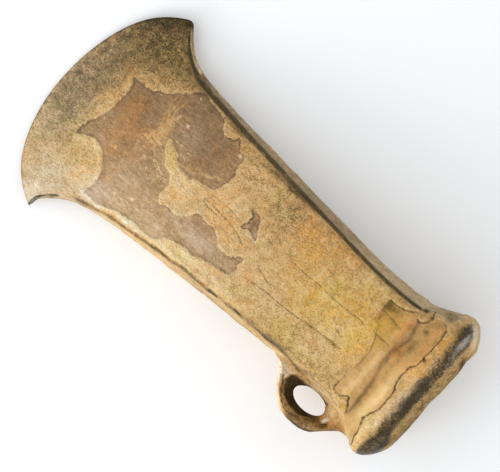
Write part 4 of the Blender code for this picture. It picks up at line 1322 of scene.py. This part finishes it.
# ---------------------------------------------------------------- pieces
def lying_pose():
    """The matrix that lays the axe down, from axe coordinates to the frame, and the tilt of the axe's own axis."""
    mount = next(m for m in frame["record"]["mounts"] if m["name"] == "socket_rim")
    tilt = math.asin(Vector(mount["axis"]).normalized().z)
    turn = Matrix.Rotation(-tilt, 4, "Y")
    offset = Vector(mount["pos_m"]) - turn @ Vector((LENGTH, 0.0, RIM_MOUNT_HEIGHT))
    return Matrix.Translation(offset) @ turn, tilt


class OBJECT_OT_axe_head_skin(bpy.types.Operator):
    """Makes the axe head's corroded skin in place of the plain casting"""

    bl_idname = "object.axe_head_skin"
    bl_label = "Axe Head"

    def execute(self, context):
        settings = context.scene.axe_head
        mesh = mesh_of(joined_skin(), "axe_head_skin")
        corroded(mesh, settings)
        pose, tilt = lying_pose()
        mesh.transform(pose)
        for vertex in mesh.vertices:
            vertex.co.z = max(vertex.co.z, 0.0)
        mesh.materials.append(CorrodedBronze(settings, tilt).finished())
        mesh.shade_smooth()
        mesh.set_sharp_from_angle(angle=SHARP_ANGLE)
        skin = new_object("axe_head_skin", mesh)
        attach(skin, "root")
        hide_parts("axe_head")
        return {"FINISHED"}


# The camera stands over the axe, a little towards the blade and away from the loop. Metres and millimetres of lens
CAMERA_HEIGHT = 0.500
CAMERA_FOOT = Vector((-0.020, 0.012))  # from the centre of the view
CAMERA_LENS = 158.8
CAMERA_SENSOR = 36.0
CAMERA_CLIP_START = 0.01
VIEW_CENTRE = Vector((0.0554, -0.000232))  # from the middle of the cutting edge
VIEW_TURN = math.radians(41.94)  # from the axe's own axis to the view's right
# Lights: name, setting, size, and place from the axe towards the view's right, its top and the camera
LIGHTS = (
    ("key", "key_power", 1.2, (-0.60, -0.12, 0.50)),
    ("low", "low_power", 0.5, (-0.70, -0.42, 0.26)),
    ("fill", "fill_power", 1.2, (0.75, 0.20, 0.50)),
)
SKY_COLOUR = (0.985, 0.995, 1.0, 1.0)
FLOOR_GLOW_COLOUR = (0.90, 0.97, 1.00, 1.0)
FLOOR_ROUGHNESS = 0.6
FLOOR_SPECULAR = 0.2


def facing(target, place, right):
    """The matrix of a camera at a place that looks at a target, with the view's right along right."""
    back = (place - target).normalized()
    right = (right - back * right.dot(back)).normalized()
    matrix = Matrix((right, back.cross(right), back)).transposed().to_4x4()
    matrix.translation = place
    return matrix


class OBJECT_OT_axe_head_stage(bpy.types.Operator):
    """Sets out the pale floor, the soft light and the camera"""

    bl_idname = "object.axe_head_stage"
    bl_label = "Stage"

    def execute(self, context):
        settings = context.scene.axe_stage
        self.floor(settings)
        world = bpy.data.worlds.new("soft_sky")
        context.scene.world = world
        world.use_nodes = True
        world.node_tree.nodes["Background"].inputs["Color"].default_value = SKY_COLOUR
        world.node_tree.nodes["Background"].inputs["Strength"].default_value = settings.sky

        foot = lying_pose()[0].translation
        target = Vector((foot.x + VIEW_CENTRE.x, foot.y + VIEW_CENTRE.y, 0.0))
        view = Matrix.Rotation(VIEW_TURN, 3, "Z")
        camera = new_object("camera", bpy.data.cameras.new("camera"))
        camera.data.sensor_width = CAMERA_SENSOR
        camera.data.lens = CAMERA_LENS
        camera.data.clip_start = CAMERA_CLIP_START
        camera.matrix_world = facing(target, target + Vector((*CAMERA_FOOT, CAMERA_HEIGHT)), view.col[0])
        context.scene.camera = camera
        for name, power, size, place in LIGHTS:
            self.soft_light(name, getattr(settings, power), size, view @ Vector(place))
        context.scene.view_settings.view_transform = "Standard"
        return {"FINISHED"}

    def floor(self, settings):
        bm = bmesh.new()
        bmesh.ops.create_grid(bm, x_segments=1, y_segments=1, size=settings.floor_size / 2)
        floor = new_object("floor", mesh_of(bm, "floor"))
        n = Nodes("floor")
        n.set(n.shader.inputs["Base Color"], (*settings.floor_colour, 1.0))
        n.set(n.shader.inputs["Roughness"], FLOOR_ROUGHNESS)
        n.set(n.shader.inputs["Specular IOR Level"], FLOOR_SPECULAR)
        n.set(n.shader.inputs["Emission Color"], FLOOR_GLOW_COLOUR)
        n.set(n.shader.inputs["Emission Strength"], settings.floor_glow)
        floor.data.materials.append(n.material)

    def soft_light(self, name, power, size, place):
        light = new_object(name, bpy.data.lights.new(name, "AREA"))
        light.data.size = size
        light.data.energy = power
        light.matrix_world = place.to_track_quat("Z", "Y").to_matrix().to_4x4()
        light.matrix_world.translation = place


class VIEW3D_PT_axe_head(bpy.types.Panel):
    """Lists the settings of the axe head and its stage, each with the step that makes it"""

    bl_label = "Axe Head"
    bl_space_type = "VIEW_3D"
    bl_region_type = "UI"
    bl_category = "Axe Head"

    def draw(self, context):
        for group, operator in (("axe_head", "object.axe_head_skin"), ("axe_stage", "object.axe_head_stage")):
            settings = getattr(context.scene, group)
            for name in settings.__annotations__:
                self.layout.prop(settings, name)
            self.layout.operator(operator)


CLASSES = (AxeSettings, StageSettings, OBJECT_OT_axe_head_skin, OBJECT_OT_axe_head_stage, VIEW3D_PT_axe_head)


def register():
    for made in CLASSES:
        bpy.utils.register_class(made)
    bpy.types.Scene.axe_head = PointerProperty(type=AxeSettings)
    bpy.types.Scene.axe_stage = PointerProperty(type=StageSettings)


def unregister():
    del bpy.types.Scene.axe_head
    del bpy.types.Scene.axe_stage
    for made in reversed(CLASSES):
        bpy.utils.unregister_class(made)


def main():
    register()
    bpy.ops.object.axe_head_stage()
    bpy.ops.object.axe_head_skin()


if __name__ == "__main__":
    main()
